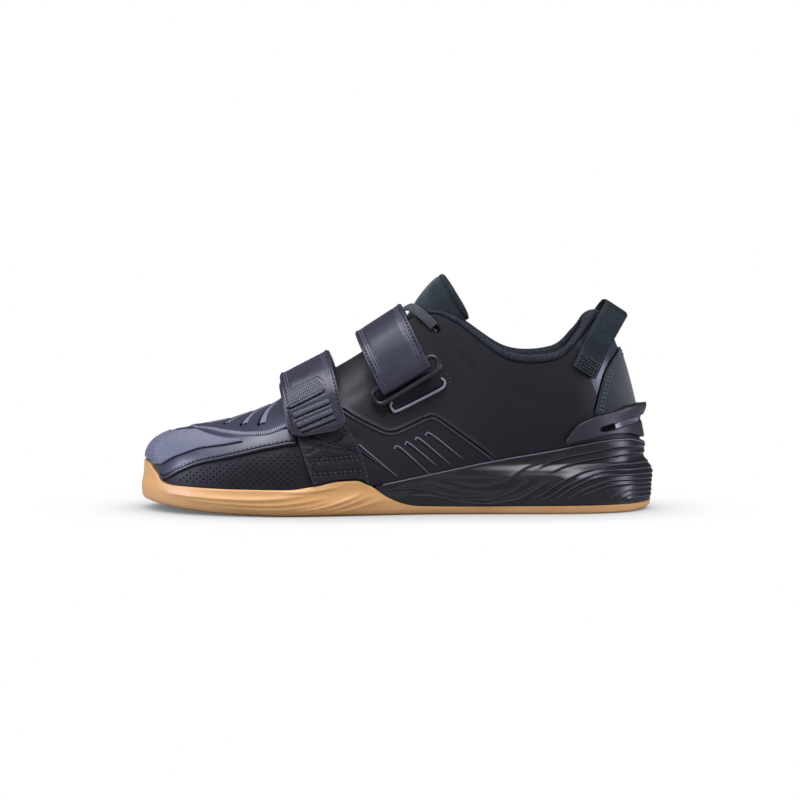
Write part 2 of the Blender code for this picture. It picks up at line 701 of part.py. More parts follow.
# Rings: a rounded rectangle of moulded wire lying along the strap's edge
def ring(name, centre, across, down, half_long, half_short, radius, mat):
    path = []
    corner = 3.4
    for cx, cy, a0 in ((1, 1, 0), (-1, 1, 90), (-1, -1, 180), (1, -1, 270)):
        for a in (0, 45, 90):
            t = math.radians(a0 + a)
            path.append(centre + across * (cx * (half_long - corner) + corner * math.cos(t))
                        + down * (cy * (half_short - corner) + corner * math.sin(t)))
    net = Net()
    n = len(path)
    up = across.cross(down).normalized()
    sides = 8
    for i in range(n):
        for j in range(sides):
            quad = []
            for di, dj in ((0, 0), (1, 0), (1, 1), (0, 1)):
                k, m = (i + di) % n, (j + dj) % sides
                run = (path[(k + 1) % n] - path[k - 1]).normalized()
                t = 2 * math.pi * (m + 0.5) / sides
                p = path[k] + up * (radius * 1.0 * math.sin(t)) + run.cross(up) * (radius * math.cos(t))
                quad.append(net.at((k, m), p))
            net.faces.append(quad)
    return solid(name, net.points, net.faces, mat)


OUT_ACROSS = Vector((0.855, 0.0, 0.518)).normalized()
OUT_DOWN = Vector((0.37, -0.30, -0.87))
OUT_DOWN = (OUT_DOWN - OUT_ACROSS * OUT_DOWN.dot(OUT_ACROSS)).normalized()
OUT_RING = Vector((5.9, spread(-35.65), 75.4))
ring("top_ring", OUT_RING, OUT_ACROSS, OUT_DOWN, 20.6, 4.6, 1.35, METAL)
IN_ACROSS = Vector((math.cos(math.radians(14)), -0.1, math.sin(math.radians(14)))).normalized()
IN_DOWN = Vector((0.2, 0.33, -0.93))
IN_DOWN = (IN_DOWN - IN_ACROSS * IN_DOWN.dot(IN_ACROSS)).normalized()
ring("front_ring", Vector((-46.0, spread(45.1), 49.2)), IN_ACROSS, IN_DOWN, 20.6, 4.6, 1.35, METAL)


# Tabs that carry the rings, laid on the upper
def ring_tab(name, centre, across, side, length, height):
    cx, cz = centre
    grid = []
    for j in range(5):
        row = []
        for i in range(7):
            u, v = (i / 6 - 0.5) * length, (j / 4 - 0.5) * height
            x = cx + across[0] * u - across[1] * v
            z = cz + across[1] * u + across[0] * v
            row.append(locate(x, z, side))
        grid.append(row)
    net = Net()

    def vid(j, i, face):
        s, v = grid[j][i]
        return net.at((j, i, face), off(s, side, v, 2.0 if face else GAP))

    for j in range(4):
        for i in range(6):
            for face in (0, 1):
                net.quad(vid(j, i, face), vid(j + 1, i, face), vid(j + 1, i + 1, face), vid(j, i + 1, face))
        for i in (0, 6):
            net.quad(vid(j, i, 0), vid(j + 1, i, 0), vid(j + 1, i, 1), vid(j, i, 1))
    for i in range(6):
        for j in (0, 4):
            net.quad(vid(j, i, 0), vid(j, i + 1, 0), vid(j, i + 1, 1), vid(j, i, 1))
    return solid(name, net.points, net.faces, LEATHER)


ring_tab("top_ring_tab", (10.4, 68.6), (0.89, 0.456), -1, 34.0, 8.6)
ring_tab("front_ring_tab", (-44.5, 35.4), (0.97, 0.24), 1, 31.0, 11.0)

# Loop over the back of the heel: centre x, z of the band, then y of its front and back edge
LOOP_WIDTH = 14.8
LOOP_FREE = [(114.2, 97.0, 29.2, 25.0), (118.4, 104.5, 26.0, 23.6), (122.4, 111.2, 21.6, 20.6),
             (124.3, 113.9, 17.6, 17.2), (125.0, 114.9, 12.4, 12.4)]
LOOP_SEWN = [(105.4, 79.6), (107.9, 84.6), (110.6, 90.2)]


def loop_rows(side):
    half = Vector((math.cos(math.radians(33)), 0.0, -math.sin(math.radians(33)))) * (LOOP_WIDTH / 2)
    rows = []
    for x, z in LOOP_SEWN:
        a = off(*locate_on(x - half.x, z - half.z, side), GAP + 0.95)
        b = off(*locate_on(x + half.x, z + half.z, side), GAP + 0.95)
        rows.append([a, (a + b) * 0.5 + Vector((0.0, side * 0.5, 0.0)), b])
    for x, z, front, back in LOOP_FREE:
        a = Vector((x - half.x, spread(side * front), z - half.z))
        b = Vector((x + half.x, spread(side * back), z + half.z))
        rows.append([a, (a + b) * 0.5, b])
    return rows


def locate_on(x, z, side):
    s, v = locate(x, z, side)
    return s, side, v


crown = [[Vector((125.2 - 6.2, 0.0, 115.1 + 4.03)), Vector((125.2, 0.0, 115.1)), Vector((125.2 + 6.2, 0.0, 115.1 - 4.03))]]
slab("pull_loop", loop_rows(-1) + crown + loop_rows(1)[::-1], 1.5, WEBBING)

# Padded roll round the ankle opening: out from the wall, up along it
ROLL = [(0.1, 0.5), (0.8, 2.0), (0.2, 3.8), (-2.2, 5.2), (-5.6, 5.2), (-8.4, 3.4), (-9.2, 0.2),
        (-8.6, -5.5), (-7.0, -11.5), (-4.4, -14.5), (-2.6, -12.5), (-2.4, -6.0), (-2.4, 0.5)]
ROLL_FROM = 9.95


def roll_half(s, side):
    top = skin(s, side, 1.0)
    o = normal(s, side, 1.0)
    k = (top - skin(s, side, 0.94)).normalized()
    size = 0.28 + 0.72 * ease(10.3, 12.5, s)
    reach = (top - skin(s, side, 0.9)).length / 0.1
    pts = []
    for a, b in ROLL:
        far = a * size if a > -2.3 else -2.4 + (a + 2.4) * size
        if b < 0.0:
            pts.append(off(s, side, 1.0 + b * size / reach, far))
        else:
            pts.append(top + o * far + k * (0.5 if b == 0.5 else b * size + 0.2 * (1 - size)))
    return pts


def both_ends_roll(name, cols, half, mat):
    net = Net()
    last = len(cols) - 1
    count = len(ROLL)
    sections = {(side, i): half(s, side) for side in (-1, 1) for i, s in enumerate(cols)}

    def vid(side, i, j):
        return net.at(("both" if i == last else side, i, j), sections[side, i][j])

    for side in (-1, 1):
        for i in range(last):
            for j in range(count):
                k = (j + 1) % count
                net.quad(vid(side, i, j), vid(side, i + 1, j), vid(side, i + 1, k), vid(side, i, k))
        net.faces.append([vid(side, 0, j) for j in range(count)])
    return solid(name, net.points, net.faces, mat)


both_ends_roll("collar_lining", columns(ROLL_FROM), roll_half, MESH)

# Tongue: follows the inside of the upper at its sides and arches over the instep
RIDGE = [(-66, 60.2), (-57, 65.0), (-48, 70.6), (-34, 79.0), (-21, 86.4), (-8, 96.0), (2, 105.0), (6, 110.0),
         (10.3, 117.2), (16, 124.9), (21.7, 131.0), (26, 133.3)]
TONGUE_ROWS = [(5.6, -62), (6.5, -53), (7.0, -46), (7.5, -35), (8.0, -23), (8.5, -11), (9.0, -1), (9.5, 6.5),
               (9.9, 12.0)]


def tongue_row(s, xc):
    depth = WALL + 0.65 + 2.7 * ease(9.0, 9.9, s)
    half = []
    for side in (-1, 1):
        half.append([off(s, side, v, -depth) for v in (0.72, 0.82, 0.91, 0.985)])
    c = Vector((xc, 0.0, table(RIDGE, xc)))
    if s < 6.3:
        half = [[off(s, side, v, -depth) for v in (0.62, 0.74, 0.86, 0.95)] for side in (-1, 1)]
        c = off(s, -1, 1.0, -depth)
        c.y = 0.0
    left, right = half[0], half[1][::-1]
    a, b = left[-1], right[0]
    q1 = blend(left[-2], a, c, b, 0.55)
    q2 = blend(a, c, b, right[1], 0.45)
    return left + [q1, c, q2] + right


tongue = [tongue_row(s, x) for s, x in TONGUE_ROWS]
for xc, half_width, x_edge, z_edge in ((18.0, 11.6, 28.5, 103.0), (22.5, 11.9, 35.5, 105.5), (26.0, 12.3, 41.5, 109.0)):
    zc = table(RIDGE, xc)
    row = []
    for t in (-1.0, -0.93, -0.8, -0.62, -0.34, 0.0, 0.34, 0.62, 0.8, 0.93, 1.0):
        bend = abs(t) ** 2.3
        row.append(Vector((xc + (x_edge - xc) * bend, half_width * (1.0 - (1.0 - abs(t)) ** 1.8) * (1 if t > 0 else -1),
                           zc + (z_edge - zc) * bend)))
    tongue.append(row)
slab("tongue", tongue, [2.4, 2.8, 3.0, 3.2, 3.4, 3.6, 3.8, 4.0, 4.0, 4.2, 4.2, 3.4], NUBUCK, out_share=0.0)

# Lace: the crossing seen above the instep strap and the bars under the straps
LACE_WIDTH = 5.2
LACE_TOP = [(21.4, -20.6, 105.0, 60, LACE_WIDTH), (17.4, -18.5, 109.0, 56, LACE_WIDTH),
            (13.0, -15.2, 112.6, 50, LACE_WIDTH), (8.5, -9.5, 115.2, 44, LACE_WIDTH),
            (4.4, -4.6, 114.2, 36, LACE_WIDTH), (1.4, -1.0, 112.2, 33, LACE_WIDTH)]
band("lace_top", LACE_TOP, 1.0, LACE)
for number, (s, slope) in enumerate(((7.2, 31), (8.4, 38)), 1):
    rows = []
    for side in (-1, 1):
        pair = [off(s, side, v, 1.2) for v in (0.93, 1.0)]
        rows.append(pair if side < 0 else pair[::-1])
    mid = (rows[0][1] + rows[1][0]) * 0.5
    mid.z = table(RIDGE, mid.x) + 1.6
    pts = rows[0] + [mid] + rows[1]
    band("lace_bar_%d" % number, [(p.x, p.y, p.z, slope, LACE_WIDTH) for p in pts], 1.0, LACE)
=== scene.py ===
import math

import bmesh
import bpy
import numpy as np
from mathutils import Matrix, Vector


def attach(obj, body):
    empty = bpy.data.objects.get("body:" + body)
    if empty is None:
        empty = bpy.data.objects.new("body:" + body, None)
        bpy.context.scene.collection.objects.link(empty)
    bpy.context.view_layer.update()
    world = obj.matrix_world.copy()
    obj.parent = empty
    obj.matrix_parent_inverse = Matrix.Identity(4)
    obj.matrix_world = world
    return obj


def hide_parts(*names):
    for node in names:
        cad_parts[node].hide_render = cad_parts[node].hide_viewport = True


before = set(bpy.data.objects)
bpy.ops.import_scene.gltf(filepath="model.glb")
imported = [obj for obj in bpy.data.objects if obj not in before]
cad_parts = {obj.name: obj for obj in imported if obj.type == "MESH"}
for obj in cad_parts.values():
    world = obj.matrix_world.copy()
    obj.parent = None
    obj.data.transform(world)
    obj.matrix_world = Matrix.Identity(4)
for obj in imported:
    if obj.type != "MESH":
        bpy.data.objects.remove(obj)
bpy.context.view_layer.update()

# Left weightlifting shoe, EU 42.5. Sizes are in millimetres, toe to -X, heel to +X, outer
# side to -Y; MM turns them into metres when a mesh is made.
MM = 0.001
LENGTH = 292.0
BALL_WIDTH = 105.0
WALL = 1.9
GAP = 0.35
RIM = 3.2
INSOLE = 3.4
STRAP_WIDTH = 31.0
STRAP_THICK = 2.4
MIDDLE_Y = 1.0
WEDGE_START = -11.0
GUM_FLOOR = 7.4
THROAT_ROW = 6
OUTER, INNER = -1, 1

# The last of the shoe, as in the part: plan outline (share of length, outer and inner half
# width as a share of the ball width).
OUTLINE = [
    ("toe tip", 0.0000, -0.057, 0.057),
    ("toe corner", 0.0103, 0.095, 0.200),
    ("toe side", 0.0411, 0.248, 0.314),
    ("little toe", 0.0959, 0.371, 0.405),
    ("toes", 0.1747, 0.462, 0.467),
    ("ball", 0.2603, 0.505, 0.490),
    ("behind ball", 0.3048, 0.505, 0.480),
    ("strap", 0.3459, 0.495, 0.457),
    ("waist front", 0.4384, 0.443, 0.386),
    ("waist", 0.5411, 0.386, 0.333),
    ("waist back", 0.5959, 0.371, 0.324),
    ("arch end", 0.6507, 0.362, 0.319),
    ("heel front", 0.7466, 0.357, 0.333),
    ("heel", 0.8425, 0.348, 0.343),
    ("heel side", 0.9178, 0.300, 0.300),
    ("heel corner", 0.9692, 0.195, 0.195),
    ("heel tip", 1.0000, 0.0, 0.0),
]
# Top edge of the upper at the same stations: x, half widths, height, and the handles that
# bow the wall: up and out from the sole, out and up from the top edge.
TOPLINE = [
    ("toe tip", -116.5, -3.0, 3.0, 45.6, 9.5, 0.0, 15.5, -3.5),
    ("toe corner", -115.5, -3.0, 3.0, 45.8, 11.5, 0.0, 16.5, -3.0),
    ("toe side", -112.5, -2.8, 2.8, 46.4, 15.5, 0.0, 19.0, -2.5),
    ("little toe", -106.0, -2.2, 2.2, 47.8, 19.5, 0.0, 26.0, -2.0),
    ("toes", -91.0, -1.2, 1.2, 51.4, 23.5, 0.0, 31.0, -1.5),
    ("ball", -70.0, -0.5, 0.5, 59.2, 28.0, 0.0, 33.0, -2.0),
    ("behind ball", -57.0, 0.0, 0.0, 67.6, 30.0, -1.0, 31.0, -3.0),
    ("strap", -48.0, 7.0, 7.0, 72.6, 31.0, -1.0, 24.0, -6.0),
    ("waist front", -21.0, 10.0, 10.0, 88.0, 33.0, -1.0, 18.0, -9.0),
    ("waist", 2.0, 12.5, 12.5, 105.0, 34.0, 0.0, 12.0, -16.0),
    ("waist back", 18.0, 15.5, 15.5, 111.6, 34.0, 2.0, 9.0, -20.0),
    ("arch end", 33.5, 21.5, 21.5, 107.0, 28.0, 3.0, 6.0, -20.0),
    ("heel front", 62.5, 31.0, 31.0, 86.8, 20.0, 3.0, 3.0, -17.0),
    ("heel", 89.0, 32.3, 32.3, 86.3, 20.0, 2.0, 3.0, -17.0),
    ("heel side", 102.6, 28.0, 28.0, 97.0, 20.0, 0.0, 6.0, -17.0),
    ("heel corner", 112.0, 17.0, 17.0, 107.8, 18.5, -2.0, 9.5, -16.0),
    ("heel tip", 117.0, 0.0, 0.0, 110.4, 17.5, -2.8, 11.6, -14.0),
]
LAST = len(OUTLINE) - 1.0

# Heights along the shoe (x, z) and the side of the sole (height above tread, inset).
TREAD = [(-146, 5.0), (-141, 4.8), (-118, 2.6), (-95, 1.0), (-72, 0.2), (-58, 0.0), (60, 0.0),
         (128, 0.0), (139, 0.6), (146, 1.5)]
GUM_TOP = [(-146, 27.8), (-142, 26.8), (-138, 22.6), (-132.5, 17.4), (-126, 16.1), (-91, 15.2),
           (-60, 15.1), (-46, 16.8), (-31, 19.4), (-22, 19.8), (-13, 16.2), (-4, 10.2), (5, 6.6),
           (13, 5.2), (40, 4.7), (146, 5.0)]
WEDGE_TOP = [(-13, 16.4), (-5, 17.9), (57, 30.2), (94, 36.6), (102, 38.4), (128, 41.4),
             (134, 41.3), (146, 38.0)]
WEDGE_FLOOR = [(-13, 9.4), (30, 16.0), (78, 26.6), (105, 29.0), (146, 29.6)]
INSOLE_LOW = [(-146, 7.9), (-40, 7.9), (-22, 8.6), (-12.5, 9.9), (-5, 11.1), (30, 16.45),
              (78, 27.0), (105, 29.4), (146, 30.1)]
FORE_SIDE = [(0, 3.4), (1.2, 1.4), (3.5, 0.3), (8, 0.0), (15, 1.2), (22, 1.6), (28, 2.4)]
HEEL_SIDE = [(0, 1.9), (1.2, 0.8), (4.6, 0.4), (12, 0.3), (20, 0.0), (24, 1.6), (29, 4.6),
             (34, 4.5), (38, 3.8), (42, 4.2)]


# The last's surface, for arrays of stations s (0 toe tip, 16 heel tip), side and share v
def ease(a, b, x):
    t = np.clip((np.asarray(x, float) - a) / (b - a), 0.0, 1.0)
    return t * t * (3.0 - 2.0 * t)


def table(rows, x):
    """Smooth reading of a two-column table, without overshoot."""
    xs, ys = np.array(rows, float).T
    h = np.diff(xs)
    d = np.diff(ys) / h
    m = np.concatenate([d[:1], np.zeros(len(d) - 1), d[-1:]])
    both = d[:-1] * d[1:]
    rising = both > 0
    m[1:-1][rising] = 2.0 * both[rising] / (d[:-1] + d[1:])[rising]
    x = np.clip(np.asarray(x, float), xs[0], xs[-1])
    k = np.clip(np.searchsorted(xs, x) - 1, 0, len(h) - 1)
    t = (x - xs[k]) / h[k]
    return (ys[k] * (1 + 2 * t) * (1 - t) ** 2 + m[k] * h[k] * t * (1 - t) ** 2
            + ys[k + 1] * t * t * (3 - 2 * t) - m[k + 1] * h[k] * t * t * (1 - t))


def both_ways(read):
    """A table's rows for each side, carried on past toe and heel by the other side's."""
    half = {side: [read(k, side) for k in range(len(OUTLINE))] for side in (OUTER, INNER)}
    return {side: np.array([half[-side][1], *half[side], half[-side][-2]], float) for side in half}


PLAN = both_ways(lambda k, side: (LENGTH * (OUTLINE[k][1] - 0.5),
                                  side * OUTLINE[k][2 if side < 0 else 3] * BALL_WIDTH))
TOP = both_ways(lambda k, side: (TOPLINE[k][1], side * TOPLINE[k][2 if side < 0 else 3], *TOPLINE[k][4:]))


def flow(rows, s):
    """Catmull-Rom reading of rows that start one before station 0."""
    s = np.asarray(s, float)
    k = np.clip(s.astype(int), 0, len(rows) - 4)
    p0, p1, p2, p3 = (rows[k + d] for d in range(4))
    t = (s - k)[..., None]
    return (p1 * 2 + (p2 - p0) * t + (p0 * 2 - p1 * 5 + p2 * 4 - p3) * t ** 2
            + (p1 * 3 - p0 - p2 * 3 + p3) * t ** 3) * 0.5


def unit(v):
    return v / np.maximum(np.linalg.norm(v, axis=-1, keepdims=True), 1e-9)


def point(x, y, z):
    return np.stack(np.broadcast_arrays(x, y, z), axis=-1).astype(float)


def outward(s, side):
    s = np.asarray(s, float)
    d = flow(PLAN[side], np.minimum(LAST, s + 0.02)) - flow(PLAN[side], np.maximum(0.0, s - 0.02))
    n = unit(np.stack([d[..., 1], -d[..., 0]], axis=-1) * -side)
    n[s < 1e-6] = (-1.0, 0.0)
    n[s > LAST - 1e-6] = (1.0, 0.0)
    return n


def plan_x(s, side):
    return flow(PLAN[side], s)[..., 0]


def top_of_gum(s, side):
    return table(GUM_TOP, plan_x(s, side))


def top_of_sole(s, side):
    x = plan_x(s, side)
    return np.where(x > -13.0, np.maximum(table(GUM_TOP, x), table(WEDGE_TOP, x)), table(GUM_TOP, x))


def side_inset(s, side, z):
    x = plan_x(s, side)
    h = ease(-10.0, 90.0, x)
    up = z - table(TREAD, x)
    return table(FORE_SIDE, up) * (1 - h) + table(HEEL_SIDE, up) * h


def sole_point(s, side, inset, z):
    p = flow(PLAN[side], s) - outward(s, side) * np.asarray(inset)[..., None]
    return point(p[..., 0], p[..., 1], z)


def edge_inset(s, side):
    return side_inset(s, side, top_of_sole(s, side))


def foot_of_upper(s, side):
    x = plan_x(s, side)
    tuck = 1.7 * np.exp(-((x + 31.0) / 20.0) ** 2) if side < 0 else 0.0
    tuck = tuck + 2.2 * ease(-122.0, -142.0, x) + 1.6 * ease(100.0, 140.0, x)
    return sole_point(s, side, edge_inset(s, side) + 0.6 + tuck, top_of_sole(s, side) + GAP)


def handles(s, side):
    s = np.asarray(s, float)
    low = foot_of_upper(s, side)
    row = flow(TOP[side], s)
    high, (up, out, far, drop) = row[..., :3], np.moveaxis(row[..., 3:], -1, 0)
    a, b = flow(TOP[side], np.maximum(0.0, s - 0.3)), flow(TOP[side], np.minimum(LAST, s + 0.3))
    rise = (b[..., 2] - a[..., 2]) / np.maximum(0.5, b[..., 0] - a[..., 0])
    rise = np.where(s < THROAT_ROW, rise, 0.0)
    n = outward(s, side)
    nx, ny = n[..., 0], n[..., 1]
    return (low, low + point(nx * out, ny * out, up),
            high + point(nx * far, ny * far, drop + nx * far * rise), high)


def skin(s, side, v):
    """Outer face of the upper: v 0 at the sole, 1 at the top edge."""
    low, p1, p2, high = handles(s, side)
    v = np.asarray(v, float)[..., None]
    w = 1.0 - v
    return low * w ** 3 + p1 * (3 * w * w * v) + p2 * (3 * w * v * v) + high * v ** 3


def normal(s, side, v):
    s, v = np.asarray(s, float), np.asarray(v, float)
    ds = skin(np.minimum(LAST, s + 0.05), side, v) - skin(np.maximum(0.0, s - 0.05), side, v)
    dv = skin(s, side, np.minimum(1.0, v + 0.02)) - skin(s, side, np.maximum(0.0, v - 0.02))
    n = np.cross(ds, dv) * -side
    s, v = np.broadcast_arrays(s, v)
    n[(s < 1e-6) | (s > LAST - 1e-6) | ((v > 0.999) & (s <= THROAT_ROW)), 1] = 0.0
    return unit(n)


def off(s, side, v, d):
    return skin(s, side, v) + normal(s, side, v) * np.asarray(d, float)[..., None]


def stations(step, first=0.0, last=LAST):
    """Station numbers from first to last, about step millimetres apart on the outline;
    step is a number or a table of x and step."""
    fine = np.linspace(first, last, 1600)
    p = flow(PLAN[OUTER], fine)
    gap = table(step, p[1:, 0]) if isinstance(step, list) else step
    grown = np.concatenate([[0.0], np.cumsum(np.linalg.norm(np.diff(p, axis=0), axis=1) / gap)])
    count = max(2, int(round(grown[-1])) + 1)
    return np.interp(np.linspace(0.0, grown[-1], count), grown, fine)


def station_at(x, side=OUTER):
    s = np.linspace(0.0, LAST, 4000)
    return float(np.interp(x, plan_x(s, side), s))


def locate(x, z, side):
    """Station and share of the skin seen at x, z from the side."""
    x, z = np.atleast_1d(np.asarray(x, float)), np.atleast_1d(np.asarray(z, float))
    gs, gv = np.meshgrid(np.linspace(0.0, LAST, 121), np.linspace(0.0, 1.0, 31), indexing="ij")
    p = skin(gs, side, gv).reshape(-1, 3)
    near = np.argmin((p[:, 0] - x[:, None]) ** 2 + (p[:, 2] - z[:, None]) ** 2, axis=1)
    s, v = gs.ravel()[near], gv.ravel()[near]
    for _ in range(14):
        p = skin(s, side, v)
        ps = (skin(np.minimum(LAST, s + 0.01), side, v) - skin(np.maximum(0.0, s - 0.01), side, v)) / 0.02
        pv = (skin(s, side, np.minimum(1.0, v + 0.005)) - skin(s, side, np.maximum(0.0, v - 0.005))) / 0.01
        ex, ez = x - p[:, 0], z - p[:, 2]
        det = ps[:, 0] * pv[:, 2] - ps[:, 2] * pv[:, 0]
        det = np.where(np.abs(det) < 1e-6, 1e-6, det)
        s = np.clip(s + np.clip((ex * pv[:, 2] - ez * pv[:, 0]) / det, -0.3, 0.3), 0.0, LAST)
        v = np.clip(v + np.clip((ez * ps[:, 0] - ex * ps[:, 2]) / det, -0.08, 0.08), 0.0, 1.0)
    return s, v


# Lines and strokes
def smooth_line(points, step=1.0):
    """Catmull-Rom through points of any width, about step apart."""
    p = np.array(points, float)
    ends = np.concatenate([2 * p[:1] - p[1:2], p, 2 * p[-1:] - p[-2:-1]])
    fine = flow(ends, np.linspace(0.0, len(p) - 1.0, 24 * len(p)))
    return even(fine, step)


def run_of(p):
    """Length along a path at each of its points."""
    return np.concatenate([[0.0], np.cumsum(np.linalg.norm(np.diff(p, axis=0), axis=1))])


def resampled(at, run, rows):
    """Rows that stand at the lengths in run, read at other lengths."""
    return np.stack([np.interp(at, run, rows[:, k]) for k in range(rows.shape[1])], axis=-1)


def even(p, step):
    """The path again, its points step apart."""
    run = run_of(p)
    return resampled(np.linspace(0.0, run[-1], max(2, int(round(run[-1] / step)) + 1)), run, p)


def from_line(x, z, line):
    """Distance from a polyline, the side it is on (+ left of its run), and the share along."""
    line = np.array(line, float)
    best = np.full(np.shape(x), 1e9)
    signed, share = np.zeros(np.shape(x)), np.zeros(np.shape(x))
    lengths = np.linalg.norm(np.diff(line, axis=0), axis=1)
    start = 0.0
    for a, b, length in zip(line[:-1], line[1:], lengths):
        d = (b - a) / length
        t = np.clip((x - a[0]) * d[0] + (z - a[1]) * d[1], 0.0, length)
        dx, dz = x - a[0] - d[0] * t, z - a[1] - d[1] * t
        far = np.hypot(dx, dz)
        closer = far < best
        best = np.where(closer, far, best)
        signed = np.where(closer, np.sign(d[0] * dz - d[1] * dx) * far, signed)
        share = np.where(closer, (start + t) / lengths.sum(), share)
        start += length
    return best, signed, share


def bell(d, width):
    return np.exp(-(d / width) ** 2)


def on_skin(points, side, lift=0.0, step=0.5, seen=True):
    """Smooth path on the upper with its normals; points are x, z of the side view, or
    station and share when seen is false. lift is a height or a function of s, side, v."""
    q = smooth_line(points, 1.0 if seen else 0.04)
    s, v = locate(q[:, 0], q[:, 1], side) if seen else (np.clip(q[:, 0], 0, LAST), np.clip(q[:, 1], 0, 1))
    run = run_of(skin(s, side, v))
    at = np.linspace(0.0, run[-1], max(3, int(round(run[-1] / step)) + 1))
    s, v = np.interp(at, run, s), np.interp(at, run, v)
    up = lift(s, side, v) if callable(lift) else lift
    return off(s, side, v, up), normal(s, side, v)


def on_band(rows, face, points, lift=0.0, smooth=True):
    """Path on a strap's outer face; points are run from its tip and offset across."""
    c, w, n, _, run = band_frames(rows, 0.5)
    q = smooth_line(points, 0.5) if smooth else even(np.array(points, float), 0.5)
    c, w, n = (resampled(q[:, 0], run, a) for a in (c, w, n))
    return c + w * q[:, 1:] + n * face * (STRAP_THICK / 2 + lift), unit(n) * face


def beside(path, gap, lift=0.0):
    """The path moved sideways and up."""
    p, n = path
    b = unit(np.cross(n, unit(np.gradient(p, axis=0))))
    return p + b * np.reshape(gap, (-1, 1)) + n * lift, n


# Meshes
SHARP_EDGE = 40.0
WELD = 0.004
ROUNDED = 0.5


class Form:
    """Grids of points put together, welded into one mesh; uv is in millimetres."""

    def __init__(self):
        self.points, self.faces, self.uvs, self.slots, self.count = [], [], [], [], 0

    def grid(self, p, uv=None, ring=False, slot=0):
        n, m = p.shape[:2]
        ids = np.arange(n * m).reshape(n, m) + self.count
        if uv is None:
            uv = np.stack(np.meshgrid(run_of(p[:, m // 2]), run_of(p[n // 2]), indexing="ij"), axis=-1)
        self.points.append(p.reshape(-1, 3))
        self.count += n * m
        last = m if ring else m - 1
        nxt = (np.arange(last) + 1) % m
        q = np.stack([ids[:-1, :last], ids[1:, :last], ids[1:][:, nxt], ids[:-1][:, nxt]], axis=-1)
        self.faces.append(q.reshape(-1, 4))
        if ring:
            gap = np.linalg.norm(p[n // 2, 0] - p[n // 2, -1])
            uv = np.concatenate([uv, uv[:, -1:] + (0.0, gap)], axis=1)
        corner = np.stack([uv[:-1, :last], uv[1:, :last], uv[1:, 1:last + 1], uv[:-1, 1:last + 1]], axis=-2)
        self.uvs.append(corner.reshape(-1, 4, 2))
        self.slots.append(np.broadcast_to(slot, (n - 1, last)).ravel())

    def fan(self, p):
        """Closes an open end with faces round its middle."""
        middle = np.broadcast_to(p.mean(axis=0), p.shape)
        self.grid(np.stack([np.vstack([p, p[:1]]), np.vstack([middle, middle[:1]])]))

    def seam(self, a, b):
        """Closes the gap between two rows of points."""
        self.grid(np.stack([a, b]))

    def make(self, name, *materials):
        """One welded object; edges sharper than SHARP_EDGE degrees stay crisp."""
        points = np.concatenate(self.points) + (0.0, MIDDLE_Y, 0.0)
        faces, uvs = np.concatenate(self.faces), np.concatenate(self.uvs)
        mesh = bpy.data.meshes.new(name)
        mesh.vertices.add(len(points))
        mesh.vertices.foreach_set("co", (points * MM).astype(np.float32).ravel())
        mesh.loops.add(faces.size)
        mesh.loops.foreach_set("vertex_index", faces.astype(np.int32).ravel())
        mesh.polygons.add(len(faces))
        mesh.polygons.foreach_set("loop_start", np.arange(0, faces.size, 4, dtype=np.int32))
        mesh.polygons.foreach_set("material_index", np.concatenate(self.slots).astype(np.int32))
        layer = mesh.uv_layers.new(name="cloth_mm")
        layer.data.foreach_set("uv", uvs.astype(np.float32).ravel())
        for m in materials:
            mesh.materials.append(m)
        mesh.update(calc_edges=True)
        bm = bmesh.new()
        bm.from_mesh(mesh)
        bmesh.ops.remove_doubles(bm, verts=bm.verts, dist=WELD * MM)
        bmesh.ops.recalc_face_normals(bm, faces=bm.faces)
        bm.to_mesh(mesh)
        bm.free()
        mesh.shade_smooth()
        mesh.set_sharp_from_angle(angle=math.radians(SHARP_EDGE))
        piece = bpy.data.objects.new(name, mesh)
        bpy.context.scene.collection.objects.link(piece)
        return piece


def ribbon(form, path, width, height, sink=0.25, slot=0, end=None, rows=9):
    """Rounded strip along a path; width and height may change along it. Its rims lie sink
    deep, and it narrows over end millimetres at both ends."""
    p, n = path
    b = np.cross(n, unit(np.gradient(p, axis=0)))
    run = run_of(p)
    end = np.max(width) / 2 if end is None else end
    close = np.ones(len(run))
    if end:
        close = np.clip(np.minimum(run, run[-1] - run) / max(end, 1e-6), 0.0, 1.0)
    half = width / 2 * np.sqrt(np.clip(1 - (1 - close) ** 2, 0.0004, 1.0))
    u = np.sin(np.linspace(-np.pi / 2, np.pi / 2, rows))[None, :]
    up = np.reshape(height, (-1, 1)) * (1 - u ** 6) - sink * (np.abs(u) > 0.999)
    across = half[:, None] * u
    form.grid(p[:, None] + b[:, None] * across[..., None] + n[:, None] * up[..., None],
              np.stack(np.broadcast_arrays(run[:, None], across + 30.0), axis=-1), slot=slot)


def stitches(form, path, long=1.9, gap=1.0, thick=0.3, lean=0.0):
    """Row of thread stitches along a path, each sunk in at both ends; lean slants them."""
    p, n = path
    run = run_of(p)
    count = int((run[-1] - gap) / (long + gap))
    if count < 1:
        return
    first = gap / 2 + np.arange(count) * (run[-1] - gap) / count
    at = first[:, None] + long * np.array([0.0, 0.1, 0.35, 0.65, 0.9, 1.0])[None, :]
    c, m = resampled(at, run, p), unit(resampled(at, run, n))
    b = np.cross(m, unit(c[:, -1:] - c[:, :1]))
    c = c + b * lean * (np.linspace(-1, 1, 6)[None, :, None])
    size = thick * np.array([0.25, 0.75, 1.0, 1.0, 0.75, 0.25])
    rise = thick * np.array([-0.5, 0.0, 0.45, 0.45, 0.0, -0.5])
    turn = circle(6)
    wide = (np.cos(turn) * size[:, None])[None, ..., None]
    tall = (np.sin(turn) * size[:, None] + rise[:, None])[None, ..., None]
    for q in c[:, :, None] + (b[:, :, None] * wide + m[:, :, None] * tall):
        form.grid(q, ring=True)


def circle(count):
    return np.linspace(0, 2 * np.pi, count + 1)[:-1]


